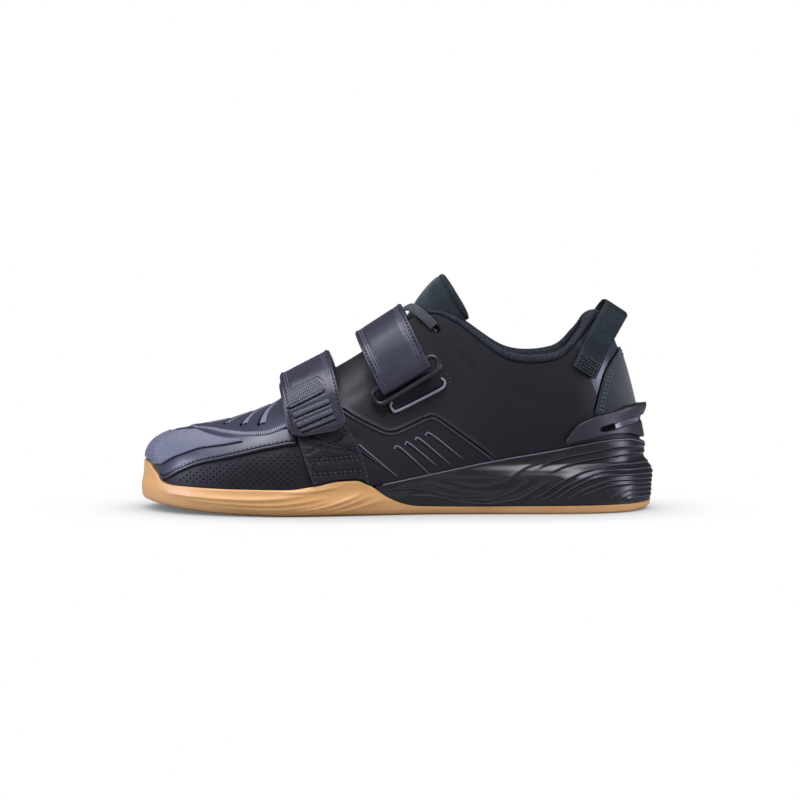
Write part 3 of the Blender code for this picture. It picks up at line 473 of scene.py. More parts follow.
def share_of(path):
    """Share of the way along a path at each of its points."""
    return np.linspace(0, 1, len(path[0]))


def edge_points(rows, first, last, count):
    """Station and share along an edge that a table gives."""
    s = np.linspace(first, last, count)
    return np.stack([s, table(rows, s)], axis=1)


def settle(piece, slot, *nodes):
    """The piece rides with the shoe and stands for the nodes; slot is not used."""
    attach(piece, "root")
    if nodes:
        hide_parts(*nodes)


def mirrored_rings(cols, half, floor=2, bed=2):
    """Closed sections: down the outer side, across underneath, up the inner side, across."""
    outer, inner = half(cols[:, None], OUTER), half(cols[:, None], INNER)

    def across(a, b, count):
        t = np.linspace(0.0, 1.0, count + 2)[1:-1][None, :, None]
        return a[:, None] * (1 - t) + b[:, None] * t
    return np.concatenate([outer, across(outer[:, -1], inner[:, -1], floor), inner[:, ::-1],
                           across(inner[:, 0], outer[:, 0], bed)], axis=1)


def run_across(p):
    """Length along each row of a grid of points."""
    return np.concatenate([np.zeros((p.shape[0], 1)),
                           np.cumsum(np.linalg.norm(np.diff(p, axis=1), axis=2), axis=1)], axis=1)


def ring_uv(p):
    return np.stack([p[..., 0], run_across(p)], axis=-1)


def point_uv(p):
    run = run_across(p)
    along = run_of(p[:, p.shape[1] // 3])
    return np.stack([np.broadcast_to(along[:, None], run.shape), run], axis=-1)


# Materials
def paint(code):
    """sRGB hex to linear colour."""
    c = [int(code[k:k + 2], 16) / 255.0 for k in (0, 2, 4)]
    return (*[v / 12.92 if v <= 0.04045 else ((v + 0.055) / 1.055) ** 2.4 for v in c], 1.0)


class Finish:
    """A material with one shader; add() puts in a node with its settings and links."""

    def __init__(self, name, colour, roughness, **sockets):
        self.material = bpy.data.materials.new(name)
        self.material.use_nodes = True
        self.tree = self.material.node_tree
        self.shader = self.tree.nodes["Principled BSDF"]
        self.set("Base Color", paint(colour))
        self.set("Roughness", roughness)
        for key, value in sockets.items():
            self.set(key.replace("_", " "), value)

    def add(self, kind, inputs=None, **settings):
        n = self.tree.nodes.new("ShaderNode" + kind)
        for key, value in settings.items():
            setattr(n, key, value)
        for key, value in (inputs or {}).items():
            self.plug(n.inputs[key], value)
        return n

    def plug(self, socket, value):
        if isinstance(value, bpy.types.Node):
            value = next(o for o in value.outputs if o.enabled)
        if isinstance(value, bpy.types.NodeSocket):
            self.tree.links.new(value, socket)
        else:
            socket.default_value = value

    def set(self, key, value):
        self.plug(self.shader.inputs[key], value)


def ridged(name, colour, low, pitch, angle, roughness=0.5, depth=0.25, phase=0.0, **sockets):
    """Fabric or film with straight ribs: pitch apart in millimetres, turned by angle; the
    hollows take the low colour as painted shade, so the ribs still read from a step away."""
    f = Finish(name, colour, roughness, **sockets)
    where = f.add("UVMap", uv_map="cloth_mm")
    turned = f.add("Mapping", {"Vector": where.outputs[0], "Rotation": (0.0, 0.0, math.radians(angle))})
    rib = f.add("TexWave", {"Vector": turned, "Scale": 2 * math.pi / 20.0 / pitch, "Distortion": 0.0,
                             "Phase Offset": math.radians(phase)},
                wave_type="BANDS", bands_direction="X", wave_profile="SIN")
    mix = f.add("Mix", {0: rib.outputs["Fac"], 6: paint(low), 7: paint(colour)}, data_type="RGBA")
    f.set("Base Color", mix.outputs[2])
    f.set("Normal", f.add("Bump", {"Height": rib.outputs["Fac"], "Distance": depth * MM, "Strength": 0.8}))
    return f.material


def leather(name, colour, roughness=0.46, gleam=0.3):
    """Microfibre leather, coated and embossed: an even matt black with a soft wide gleam."""
    f = Finish(name, colour, roughness, Specular_IOR_Level=gleam)
    where = f.add("TexCoord").outputs["Object"]
    slow = f.add("TexNoise", {"Vector": where, "Scale": 1000 / 18.0, "Detail": 3.0})
    worn = f.add("MapRange", {"Value": slow.outputs["Fac"], 1: 0.3, 2: 0.7,
                              3: roughness + 0.06, 4: roughness - 0.04})
    f.set("Roughness", worn.outputs[0])
    grain = f.add("TexVoronoi", {"Vector": where, "Scale": 1000 / 0.8}, feature="SMOOTH_F1")
    f.set("Normal", f.add("Bump", {"Height": grain.outputs["Distance"], "Distance": 0.00006,
                                   "Strength": 0.5}))
    return f.material


def moulded(name, colour, deep, roughness, cloud=16.0, grain=0.5, depth=0.02, **sockets):
    """Moulded rubber or plastic: a slow cloud of a deeper tone, as it comes from the mould, and
    a fine skin whose gloss comes and goes a little."""
    f = Finish(name, colour, roughness, **sockets)
    where = f.add("TexCoord").outputs["Object"]
    slow = f.add("TexNoise", {"Vector": where, "Scale": 1000.0 / cloud, "Detail": 3.0})
    mix = f.add("Mix", {0: slow.outputs["Fac"], 6: paint(deep), 7: paint(colour)}, data_type="RGBA")
    f.set("Base Color", mix.outputs[2])
    gloss = f.add("MapRange", {"Value": slow.outputs["Fac"], 1: 0.3, 2: 0.7,
                               3: roughness + 0.05, 4: roughness - 0.04})
    f.set("Roughness", gloss.outputs[0])
    fine = f.add("TexNoise", {"Vector": where, "Scale": 1000.0 / grain, "Detail": 2.0})
    f.set("Normal", f.add("Bump", {"Height": fine.outputs["Fac"], "Distance": depth * MM, "Strength": 0.6}))
    return f.material


def mesh_fabric(name, dark, light, cell):
    """Knitted spacer mesh: pale yarn round small eyes darkened as painted shade, drawn coarser than the
    real 0.6 mm so that it shows; without gloss."""
    f = Finish(name, light, 0.95, Specular_IOR_Level=0.15)
    eyes = f.add("TexVoronoi", {"Vector": f.add("TexCoord").outputs["Object"], "Scale": 1000.0 / cell})
    far = f.add("MapRange", {"Value": eyes.outputs["Distance"], 1: 0.15, 2: 0.55, 3: 0.0, 4: 1.0})
    mix = f.add("Mix", {0: far.outputs[0], 6: paint(dark), 7: paint(light)}, data_type="RGBA")
    f.set("Base Color", mix.outputs[2])
    f.set("Normal", f.add("Bump", {"Height": far.outputs[0], "Distance": 0.0003, "Strength": 0.7}))
    return f.material


def nubuck(name, colour, nap):
    """Sanded nubuck: a cloudy nap that brushes lighter in patches, no gloss, soft edge light."""
    f = Finish(name, colour, 0.95, Specular_IOR_Level=0.12, Sheen_Weight=0.35, Sheen_Roughness=0.5)
    where = f.add("TexCoord").outputs["Object"]
    cloud = f.add("TexNoise", {"Vector": where, "Scale": 1000.0 / 14.0, "Detail": 4.0})
    mix = f.add("Mix", {0: cloud.outputs["Fac"], 6: paint(colour), 7: paint(nap)}, data_type="RGBA")
    f.set("Base Color", mix.outputs[2])
    fine = f.add("TexNoise", {"Vector": where, "Scale": 1000.0 / 0.7, "Detail": 2.0})
    f.set("Normal", f.add("Bump", {"Height": fine.outputs["Fac"], "Distance": 0.00005, "Strength": 0.5}))
    return f.material


# Coated microfibre on the quarter: matt black, only a wide dull gleam where it turns to the light
UPPER_LEATHER = leather("microfibre_leather", "0f0f13", 0.5, 0.3)
# Film-faced strap: smoother than the quarter, violet-grey in the light
STRAP_FACE = leather("strap_film_leather", "262631", 0.38, 0.5)
# Welded film over the toe: blue-violet, the glossiest of the skins; laid over the upper above the heel
# counter, it is a painted highlight
SMOOTH_FILM = leather("toe_film_leather", "2a2b37", 0.37, 0.6)
# Knit-textured transfer strip: pale ribs with hollows darkened as painted shade, matt
RIBBED = ridged("knit_textured_strip", "858793", "121317", 1.05, 0.0, 0.6)
# The same texture moulded in soft rubber on the strap's tab: darker, its hollows painted as shade so its ribs
# read as dots
GRIP = ridged("knit_textured_rubber", "565863", "0b0b0e", 1.15, 0.0, 0.55)
# Embossed film of the toe cap: slanting ribs, drawn coarser than the real 0.7 mm; the crests are painted pale
# as highlights and the hollows dark as shade
CAP_FILM = ridged("ribbed_cap_film", "7b7f8f", "101117", 1.15, 52.0, 0.42, 0.35)
# Edge piping of coated cord: a thin glint along each panel
PIPING = moulded("edge_piping", "383944", "2c2d36", 0.32)
# Line pressed along the straps with heat: a little glossier than the face, and painted paler as its highlight
EMBOSSED_HIGHLIGHT = moulded("embossed_line_painted_highlight", "565764", "484954", 0.3)
# Moulded rim round the ring's recess: painted paler than all round it, a painted highlight for its shine
RIM_HIGHLIGHT = moulded("moulded_rim_painted_highlight", "8d8e96", "7b7c85", 0.3)
# Painted shade for the bottom of a groove, hole or slot: near black, it gives back next to nothing
PAINTED_SHADE = Finish("deep_groove_painted_shade", "060607", 0.9, Specular_IOR_Level=0.1).material
# Natural gum rubber: honey brown, browner in slow clouds, satin
GUM = moulded("gum_rubber", "c6995c", "b6864d", 0.42, 26.0, 0.6, 0.03)
# Polished thermoplastic of the wedge: black with soft long highlights on the ribs
WEDGE = moulded("moulded_wedge_black", "0c0c11", "09090c", 0.35, 30.0, 0.8, 0.01, Specular_IOR_Level=0.45)
# Painted highlights on the crest of each rib and along the top edge: thin pale lines
WEDGE_CREST_HIGHLIGHT = moulded("wedge_crest_painted_highlight", "484953", "3c3d46", 0.3)
WEDGE_TOP_HIGHLIGHT = moulded("wedge_top_painted_highlight", "5c5d66", "4c4d56", 0.35)
# Sanded nubuck of counter and tongue: green-charcoal, soft and cloudy
NUBUCK = nubuck("nubuck_green_charcoal", "161d1e", "242e2f")
# Spacer mesh of collar, lining and liner: dark yarn with pin-prick shadows
LINING = mesh_fabric("spacer_mesh", "090a0b", "282d31", 0.95)
# Heel cradle in matt nylon, with a glossy insert in its slot
CLIP = moulded("moulded_clip", "212027", "1b1a21", 0.42, 20.0, 0.4, 0.03)
GLOSS = moulded("glossy_moulding", "56565c", "4b4b52", 0.16)
# Cast rings in dark plated metal: small sharp glints
METAL = moulded("ring_gunmetal", "1a1a1f", "131317", 0.28, 8.0, 0.3, 0.01)
# Ribbed polyester webbing and flat woven lace: dull, with the ribs drawn coarser than life and painted shade
# in their hollows
WEBBING = ridged("woven_webbing", "333d3f", "090c0d", 1.05, 0.0, 0.9, 0.1, 90.0, Specular_IOR_Level=0.2)
LACE = ridged("woven_lace", "4c4e55", "101114", 1.15, 90.0, 0.85, 0.15)
# Bonded nylon thread: near-black on the straps, dark on leather, grey-green on the nubuck
THREAD_BLACK = Finish("bonded_thread_black", "08080a", 0.5).material
THREAD = Finish("bonded_thread", "2a2b31", 0.45).material
THREAD_LIGHT = Finish("bonded_thread_pale", "545d5e", 0.6).material


# Sole
def rim_of_gum(x):
    """Width of the rim that stands round the foot; it thins out behind the forefoot."""
    return RIM - 1.6 * ease(-28.0, -12.0, x)


def gum_section(s, side):
    x = plan_x(s, side)
    z0, z1 = table(TREAD, x), top_of_gum(s, side)
    edge = side_inset(s, side, z1)
    rim = rim_of_gum(x)
    deep = np.minimum(GUM_FLOOR, z1 - 0.6)
    parts = [sole_point(s, side, edge + inset, z) for inset, z in (
        (rim + 0.3, deep), (rim, z1 - 0.2), (rim - 0.3, z1), (0.9, z1), (0.35, z1 - 0.15))]
    share = np.linspace(0.955, 0.05, 34)[None, :]
    z = z0 + (z1 - z0) * share
    inset = side_inset(s, side, z) - gum_relief(x, z, z0, z1)
    wall = sole_point(np.broadcast_to(s, z.shape), side, inset, z)
    foot = [sole_point(s, side, side_inset(s, side, z0) + 0.15, z0 + 0.3 * (z1 - z0) * 0.05),
            sole_point(s, side, side_inset(s, side, z0) + 0.6, z0)]
    return np.concatenate([*parts, wall, *foot], axis=1)


# Crests of the gum's side: long soft waves at the forefoot, slanting ridges on the hump;
# x, z points, height and width
WAVE_RISE = 2.3
GUM_WAVES = [
    ([(-128, 11.5), (-105, 10.2), (-80, 9.6), (-62, 10.6), (-48, 12.4)], 0.5, 1.5),
    ([(-118, 8.6), (-95, 7.2), (-74, 6.6), (-58, 7.4), (-40, 10.4)], 0.45, 1.3),
    ([(-104, 5.6), (-84, 4.4), (-66, 4.2), (-50, 5.6), (-32, 9.2)], 0.4, 1.2),
    ([(-62, 13.4), (-46, 14.4), (-31, 16.6)], 0.35, 1.1),
    ([(-56, 3.0), (-40, 5.4), (-24, 10.4), (-17.8, 13.4)], 0.55, 1.0),
    ([(-46, 2.4), (-33, 4.8), (-20, 9.0), (-14.5, 11.6)], 0.5, 0.9),
    ([(-36, 1.8), (-25, 4.0), (-14, 7.0), (-9, 8.6)], 0.45, 0.8),
]


def gum_relief(x, z, z0, z1):
    """Long soft waves moulded in the side of the gum."""
    x, z = np.broadcast_arrays(x, z)
    lift = np.zeros(x.shape)
    for points, height, width in GUM_WAVES:
        d, _, share = from_line(x, z, smooth_line(points, 3.0))
        along = np.sin(np.pi * np.clip(share, 0.02, 0.98)) ** 0.5
        lift += WAVE_RISE * height * np.exp(-(d / width) ** 1.4) * along
    return lift * ease(0.2, 1.2, z1 - z) * ease(0.0, 1.6, z - z0)


def outsole():
    form = Form()
    cols = stations([(-146, 0.8), (-100, 1.0), (30, 1.0), (60, 1.6), (146, 1.6)])
    rings = mirrored_rings(cols, gum_section, floor=24)
    form.grid(rings, ring_uv(rings), ring=True)
    settle(form.make("outsole_gum", GUM), "gum_rubber", "outsole")


def wedge_section(s, side):
    x = plan_x(s, side)
    z1, z2 = top_of_gum(s, side) + GAP, table(WEDGE_TOP, x)
    edge = edge_inset(s, side)
    parts = [sole_point(s, side, edge + inset, z) for inset, z in (
        (RIM + 0.3, table(WEDGE_FLOOR, x)), (RIM, z2 - 0.2), (RIM - 0.3, z2), (0.8, z2), (0.3, z2 - 0.15))]
    share = np.linspace(0.97, 0.0, 74)[None, :]
    z = z1 + (z2 - z1) * share
    inset = side_inset(s, side, z) - wedge_relief(x, z, z1, z2)
    wall = sole_point(np.broadcast_to(s, z.shape), side, inset, z)
    step = side_inset(s, side, top_of_gum(s, side)) + rim_of_gum(x) + GAP + 0.35
    inner = [sole_point(s, side, step, z1),
             sole_point(s, side, step + 0.2, np.minimum(GUM_FLOOR, top_of_gum(s, side) - 0.6) + GAP)]
    return np.concatenate([*parts, wall, *inner], axis=1)


# Crests flowing along the wedge: x, z points, height, and width of the slopes. Those that
# reach ROUND_HEEL run on round the heel.
RIB_RISE = 1.6
ROUND_HEEL = 144
WEDGE_CRESTS = [
    ([(145, 36.0), (134.6, 37.2), (124.9, 37.1), (106.5, 33.9), (93.9, 31.4), (84.3, 28.1),
      (76.0, 23.8)], 0.8, 1.5),
    ([(145, 32.6), (134.0, 33.0), (121.9, 32.0), (106.6, 29.7), (94.5, 27.0), (84.0, 22.4)], 0.7, 1.6),
    ([(86.0, 30.4), (73.5, 26.8), (66.2, 22.4), (58.0, 17.0)], 0.35, 1.1),
    ([(58.4, 10.8), (64.4, 12.5), (70.3, 16.5), (76.0, 20.0)], 0.6, 1.2),
    ([(52.0, 7.2), (66.2, 8.4), (73.4, 11.6), (82.4, 17.0), (89.0, 20.5)], 0.8, 1.3),
    ([(67.4, 5.9), (73.4, 7.4), (82.4, 11.6), (88.3, 15.8), (94.3, 19.4), (103.4, 23.4), (112.5, 25.6),
      (124.9, 27.3), (145, 27.2)], 0.95, 1.2),
    ([(72.2, 5.6), (82.4, 8.6), (88.3, 11.6), (94.3, 15.8), (103.4, 19.9), (112.5, 22.9), (121.7, 24.4),
      (145, 24.0)], 0.95, 1.1),
    ([(80.6, 5.9), (88.3, 8.6), (94.4, 12.2), (100.4, 15.8), (109.4, 19.8), (118.6, 21.5), (127.9, 21.6),
      (145, 21.2)], 0.95, 1.1),
    ([(89.6, 6.1), (97.3, 9.7), (103.4, 13.0), (109.4, 15.6), (118.5, 18.4), (127.8, 18.9),
      (145, 18.4)], 0.9, 1.0),
    ([(98.0, 7.4), (104.0, 10.3), (111.3, 13.2), (118.6, 15.6), (127.8, 16.4), (145, 15.9)], 0.8, 1.0),
    ([(115.5, 6.4), (124.7, 10.9), (134.2, 13.5), (145, 13.3)], 0.7, 0.9),
    ([(121.7, 6.2), (127.9, 9.0), (134.3, 10.8), (145, 10.7)], 0.7, 0.9),
    ([(127.9, 6.9), (134.3, 8.4), (145, 8.2)], 0.6, 0.8),
    ([(-5.8, 14.7), (6.3, 15.2), (15.8, 14.4), (29.2, 11.2), (39.3, 10.5), (49.4, 11.2),
      (58.2, 14.2)], 0.6, 1.2),
    ([(11.7, 18.1), (19.8, 17.3), (29.2, 14.9), (39.3, 13.2)], 0.45, 1.1),
    ([(25.8, 19.7), (36.0, 17.2), (49.4, 15.9), (62.9, 19.9), (69.0, 23.8)], 0.4, 1.2),
    ([(36.0, 9.2), (46.0, 8.4), (52.8, 8.6), (62.9, 12.4), (69.6, 16.4)], 0.7, 1.1),
    ([(2.3, 10.9), (15.7, 11.0), (25.8, 9.9), (36.0, 7.8), (46.1, 6.8)], 0.5, 1.0),
    ([(29.2, 8.2), (42.7, 6.6), (56.2, 6.6), (69.6, 9.6), (78.0, 14.0)], 0.7, 1.0),
]


def from_front(points):
    """A crest's points in the order of x, so that its lower slope is the steep one."""
    return points if points[0][0] < points[-1][0] else points[::-1]


def wedge_relief(x, z, z1, z2):
    """Flowing ribs with sharp crests and hollow slopes between them."""
    x, z = np.broadcast_arrays(x, z)
    lift = np.zeros(x.shape)
    for points, height, width in WEDGE_CRESTS:
        points = from_front(points)
        _, above, share = from_line(x, z, smooth_line(points, 3.0))
        fade = ease(0.0, 0.25, share) * (1.0 if points[-1][0] > ROUND_HEEL else ease(1.0, 0.75, share))
        slope = np.where(above > 0, np.exp(-above / (1.8 * width)), bell(above, 0.85))
        lift = np.maximum(lift, RIB_RISE * height * slope * fade)
    top = 0.55 * np.exp(-(z2 - z) / 0.55)
    return np.maximum(lift, top) * ease(0.0, 1.0, z - z1)


def midsole():
    form = Form()
    cols = stations([(-146, 1.0), (60, 0.6), (146, 0.6)], station_at(WEDGE_START))
    rings = mirrored_rings(cols, wedge_section)
    form.grid(rings, ring_uv(rings), ring=True)
    form.fan(rings[0])
    settle(form.make("midsole_wedge", WEDGE), "wedge", "midsole")
    lines = Form()
    for side in (OUTER, INNER):
        for points, height, _ in WEDGE_CRESTS:
            path = on_wall(points, side)
            share = share_of(path)
            fade = ease(0.0, 0.3, share) * (1.0 if path[2] else ease(1.0, 0.75, share))
            # The crest highlights are painted narrower towards the front, where the wedge catches less light
            fade = fade * (0.25 + 0.75 * ease(60.0, 88.0, path[0][:, 0]))
            ribbon(lines, path[:2], 0.1 + 0.4 * fade * height, 0.1, sink=0.3, end=0.5, rows=5)
        # A painted highlight runs along the wedge's top edge
        s = stations(1.0, station_at(-7.0))
        z = table(WEDGE_TOP, plan_x(s, side)) - 0.3
        p = sole_point(s, side, side_inset(s, side, z) - 0.35, z)
        n = point(*outward(s, side).T, 0.0)
        ribbon(lines, (p, n), 0.75, 0.2, sink=0.4, end=0.0, slot=1)
    settle(lines.make("midsole_crest_highlights", WEDGE_CREST_HIGHLIGHT, WEDGE_TOP_HIGHLIGHT), "wedge")


def on_wall(points, side):
    """Path on the wedge's side; True at the end if it runs round the heel."""
    points = from_front(points)
    q = smooth_line(points, 1.0)
    fine = np.linspace(station_at(WEDGE_START, side), LAST, 2000)
    s = np.interp(q[:, 0], plan_x(fine, side), fine)
    round_heel = points[-1][0] > ROUND_HEEL
    z = q[:, 1]
    if round_heel:
        s = np.concatenate([s, np.linspace(s[-1], LAST, 10)[1:]])
        z = np.concatenate([z, np.full(9, z[-1])])
    x = plan_x(s, side)
    z1, z2 = top_of_gum(s, side), table(WEDGE_TOP, x)
    z = np.clip(z, z1 + 0.7, z2 - 0.8)
    p = sole_point(s, side, side_inset(s, side, z) - wedge_relief(x, z, z1, z2), z)
    return p, point(*outward(s, side).T, 0.0), round_heel


def insole():
    """Sock liner with a soft upper edge."""
    def half(s, side):
        x = plan_x(s, side)
        inset = edge_inset(s, side) + RIM + 2.6
        low = table(INSOLE_LOW, x)
        rows = [(3.4, INSOLE), (0.8, INSOLE - 0.05), (0.3, INSOLE - 0.4), (0.05, INSOLE - 1.0),
                (0.0, 0.9), (0.5, 0.0)]
        return np.concatenate([sole_point(s, side, inset + a, low + b) for a, b in rows], axis=1)
    form = Form()
    rings = mirrored_rings(stations(3.0), half, bed=12)
    form.grid(rings, ring_uv(rings), ring=True)
    settle(form.make("insole_liner", LINING), "lining_mesh", "insole")


# Upper
# Spacing of the grid's columns along x, and its rows by side and for the inside
UPPER_STEP = [(-146, 0.9), (-120, 0.75), (-60, 0.65), (42, 0.65), (62, 1.2), (146, 1.2)]
UPPER_ROWS = {OUTER: 128, INNER: 76}
LINING_ROWS = 14
TUCK_OUT = RIM + 0.4
TUCK_IN = TUCK_OUT + 1.7

# Edges of the mudguard and of the raised vamp panel, as station and share
MUDGUARD_LOW = [(0, 0.03), (1, 0.03), (2, 0.04), (2.8, 0.165), (3.4, 0.25), (4.2, 0.30), (5, 0.33),
                (6, 0.315)]
MUDGUARD_HIGH = [(0, 0.985), (1, 0.985), (1.9, 0.955), (3, 0.85), (3.6, 0.745), (4.1, 0.617), (4.5, 0.525),
                 (5, 0.485), (5.5, 0.452), (6, 0.415)]
PANEL_EDGE = MUDGUARD_HIGH[:8] + [(5.5, 0.487), (6.2, 0.478), (7.0, 0.50)]
# Slashes: station and share, width at the lower and at the upper end
SLASHES = [
    ([(3.1, 0.955), (3.35, 0.97), (3.8, 0.985)], 1.6, 0.7),
    ([(3.92, 0.835), (4.0, 0.90), (4.14, 0.96), (4.42, 0.995)], 4.0, 1.6),
    ([(4.40, 0.700), (4.45, 0.80), (4.54, 0.90), (4.68, 0.965), (4.90, 0.995)], 4.8, 1.8),
    ([(4.83, 0.625), (4.87, 0.74), (4.95, 0.85), (5.08, 0.93), (5.38, 0.995)], 5.2, 2.0),
]
# Lines of the quarter in the side view, x and z: seam, chevrons, side slash
QUARTER_SEAM = [(-34.0, 60.6), (-29.1, 58.7), (-22.9, 54.8), (-8.9, 47.9), (-3.3, 46.4), (2.3, 47.6),
                (16.9, 54.1), (20.9, 54.9), (25.2, 53.0), (36.0, 45.3), (47.2, 37.2), (56.9, 29.9)]
CHEVRONS = [[(-1.1, 37.1), (2.3, 37.9), (19.2, 22.6)], [(5.1, 39.2), (7.3, 40.3), (22.5, 27.9)],
            [(10.7, 41.7), (13.5, 42.5), (30.4, 28.4)], [(16.3, 44.2), (19.7, 45.3), (37.7, 31.1)]]
SIDE_SLASH = [(-21.7, 39.0), (-12.0, 31.6), (0.6, 22.0)]
# Soft creases put in where the leather gives: x, z points, depth, width
CREASES = [
    ([(-36.0, 62.0), (-26.0, 66.0), (-14.0, 74.0)], -0.5, 3.0),
    ([(58.0, 74.0), (72.0, 66.0), (88.0, 63.0)], -0.35, 5.0),
    ([(30.0, 92.0), (40.0, 84.0), (48.0, 72.0)], -0.35, 4.0),
    ([(92.0, 78.0), (101.0, 68.0), (104.0, 58.0)], 0.35, 5.0),
    ([(-30.0, 47.0), (-24.0, 44.0), (-14.0, 42.5)], -0.4, 2.2),
    ([(66.0, 46.0), (80.0, 49.0), (92.0, 46.0)], 0.3, 6.0),
]


def lip_lift(s, side, v):
    """Height of the raised vamp panel over the last."""
    tall = np.linalg.norm(skin(s, side, 0.75) - skin(s, side, 0.25), axis=-1) * 2.0
    d = (v - table(PANEL_EDGE, s)) * tall
    fade = ease(6.9, 6.2, s)
    return (0.9 + 1.0 * np.exp(-np.maximum(d, 0.0) / 6.0)) * ease(-0.1, 0.7, d) * fade


def near_path(p, path):
    """Distance of points from a path on the form, the side of it (+ to the heel) and the share."""
    line = path[0]
    flat, best = p.reshape(-1, 3), np.full(p.reshape(-1, 3).shape[0], 1e9)
    who = np.zeros(len(flat), int)
    for k, q in enumerate(line):
        d = ((flat - q) ** 2).sum(axis=1)
        closer = d < best
        best[closer], who[closer] = d[closer], k
    away = flat - line[who]
    run = unit(np.gradient(line, axis=0))[who]
    along = (away * run).sum(axis=1, keepdims=True)
    away = away - run * along * ((who > 0) & (who < len(line) - 1))[:, None]
    across = (away * np.cross(path[1][who], run)).sum(axis=1)
    return np.linalg.norm(away, axis=1).reshape(p.shape[:-1]), across.reshape(p.shape[:-1]), \
        (who / (len(line) - 1)).reshape(p.shape[:-1])


def slash_width(share, wide, narrow):
    return wide + (narrow - wide) * share ** 0.8


def upper_relief(p, s, side, v):
    """Height over the last: vamp panel less its slashes, then the lines and creases outside."""
    x, z = p[..., 0], p[..., 2]
    s, v = np.broadcast_arrays(s, v)
    lift = lip_lift(s, side, v)
    for points, wide, narrow in SLASHES:
        d, across, share = near_path(p, on_skin(points, side, step=0.5, seen=False))
        w = slash_width(share, wide, narrow) / 2
        e = -across * side
        inside = ease(w + 0.35, w - 0.1, d)
        lift = lift - inside * (0.35 + 0.75 * np.clip(0.5 + e / (2 * w), 0, 1))
    if side == OUTER:
        _, e, _ = from_line(x, z, smooth_line(QUARTER_SEAM, 1.0))
        lift += 0.55 * bell(e - 1.15, 0.6) + 0.35 * bell(e + 1.1, 0.5) - 0.55 * bell(e, 0.55)
        for points in CHEVRONS:
            _, e, share = from_line(x, z, smooth_line(points, 0.7))
            fade = ease(1.0, 0.35, share) * ease(0.0, 0.06, share)
            lift += (0.45 * bell(e, 0.45) - 0.4 * bell(e + 1.3, 1.0)) * fade
        _, e, share = from_line(x, z, smooth_line(SIDE_SLASH, 1.0))
        lift -= 0.8 * bell(e + 1.0, 0.9) * ease(1.0, 0.1, share) * (share > 0.001)
        for points, depth, width in CREASES:
            d, _, share = from_line(x, z, smooth_line(points, 2.0))
            lift += depth * bell(d, width) * np.sin(np.pi * np.clip(share, 0.12, 0.88))
    top = np.where(s <= THROAT_ROW + 1e-6, 1.0, ease(1.0, 0.985, v))
    return lift * ease(0.0, 0.02, v) * top


def upper():
    form = Form()
    shared = stations(UPPER_STEP, 0.0, float(THROAT_ROW))
    for side, step in ((OUTER, UPPER_STEP), (INNER, 1.3)):
        cols = np.concatenate([shared, stations(step, float(THROAT_ROW))[1:]])[:, None]
        v = np.linspace(0.0, 1.0, UPPER_ROWS[side])[None, :]
        p, n = skin(cols, side, v), normal(cols, side, v)
        lift = upper_relief(p, cols, side, v)
        mid_s, mid_v = (cols[1:] + cols[:-1]) / 2, (v[:, 1:] + v[:, :-1]) / 2
        # Faces above the heel counter take the paler, glossier film as a painted highlight where the heel
        # turns to the light; the vamp panel above its edge is film of its own
        film_and_heel_highlight = (mid_s > 14.0) & (mid_v > table(COUNTER_HIGH, mid_s) - 0.02)
        film_and_heel_highlight |= (mid_s < 6.6) & (mid_v > table(PANEL_EDGE, mid_s))
        form.grid(p + n * lift[..., None], point_uv(p), slot=film_and_heel_highlight * 2)
        low_v = np.linspace(0.0, 1.0, LINING_ROWS)[None, :]
        x = plan_x(cols, side)
        base = edge_inset(cols, side)
        top = top_of_sole(cols, side) + GAP
        foot = skin(cols, side, 0.0)
        gone = np.linalg.norm(flow(PLAN[side], cols) - foot[..., :2], axis=-1)
        extra = (base + TUCK_IN - gone - WALL) * (1.0 - ease(0.0, 0.3, low_v))
        inside = off(cols, side, low_v, -(WALL + extra))
        inside[:, 0] = sole_point(cols, side, base + TUCK_IN, top + 0.6)[:, 0]
        form.grid(inside, slot=1)
        floor = table(INSOLE_LOW, x) + 0.2
        under = np.concatenate([inside[:, :1], sole_point(cols, side, base + TUCK_IN, floor),
                                sole_point(cols, side, base + TUCK_OUT, floor),
                                sole_point(cols, side, base + TUCK_OUT, top), p[:, :1]], axis=1)
        form.grid(under, slot=1)
        open_edge = cols[:, 0] >= THROAT_ROW - 1e-6
        a, b = p[open_edge, -1], inside[open_edge, -1]
        t = np.linspace(0.0, 1.0, 4)[None, :, None]
        form.grid(a[:, None] * (1 - t) + b[:, None] * t)
    settle(form.make("upper_shell", UPPER_LEATHER, LINING, SMOOTH_FILM), "upper_leather", "upper")


# Overlays cut from the upper's own form: lower and upper edges, as station and share
CAP_LOW = [(0, 0.04), (1.4, 0.035), (1.8, 0.135), (2.5, 0.305), (3, 0.37), (3.5, 0.42), (4.4, 0.428)]
CAP_HIGH = [(0, 0.72), (1, 0.75), (2, 0.80), (2.9, 0.78), (3.6, 0.61), (4.1, 0.50), (4.4, 0.455)]
CLIP_LOW = [(12.85, 0.035), (14, 0.045), (16, 0.04)]
CLIP_HIGH = [(12.85, 0.075), (13.01, 0.149), (13.2, 0.212), (13.6, 0.238), (14.2, 0.25), (15.2, 0.28),
             (16, 0.31)]
COUNTER_HIGH = [(13.65, 0.27), (14.14, 0.468), (14.6, 0.582), (15.18, 0.64), (16, 0.70)]


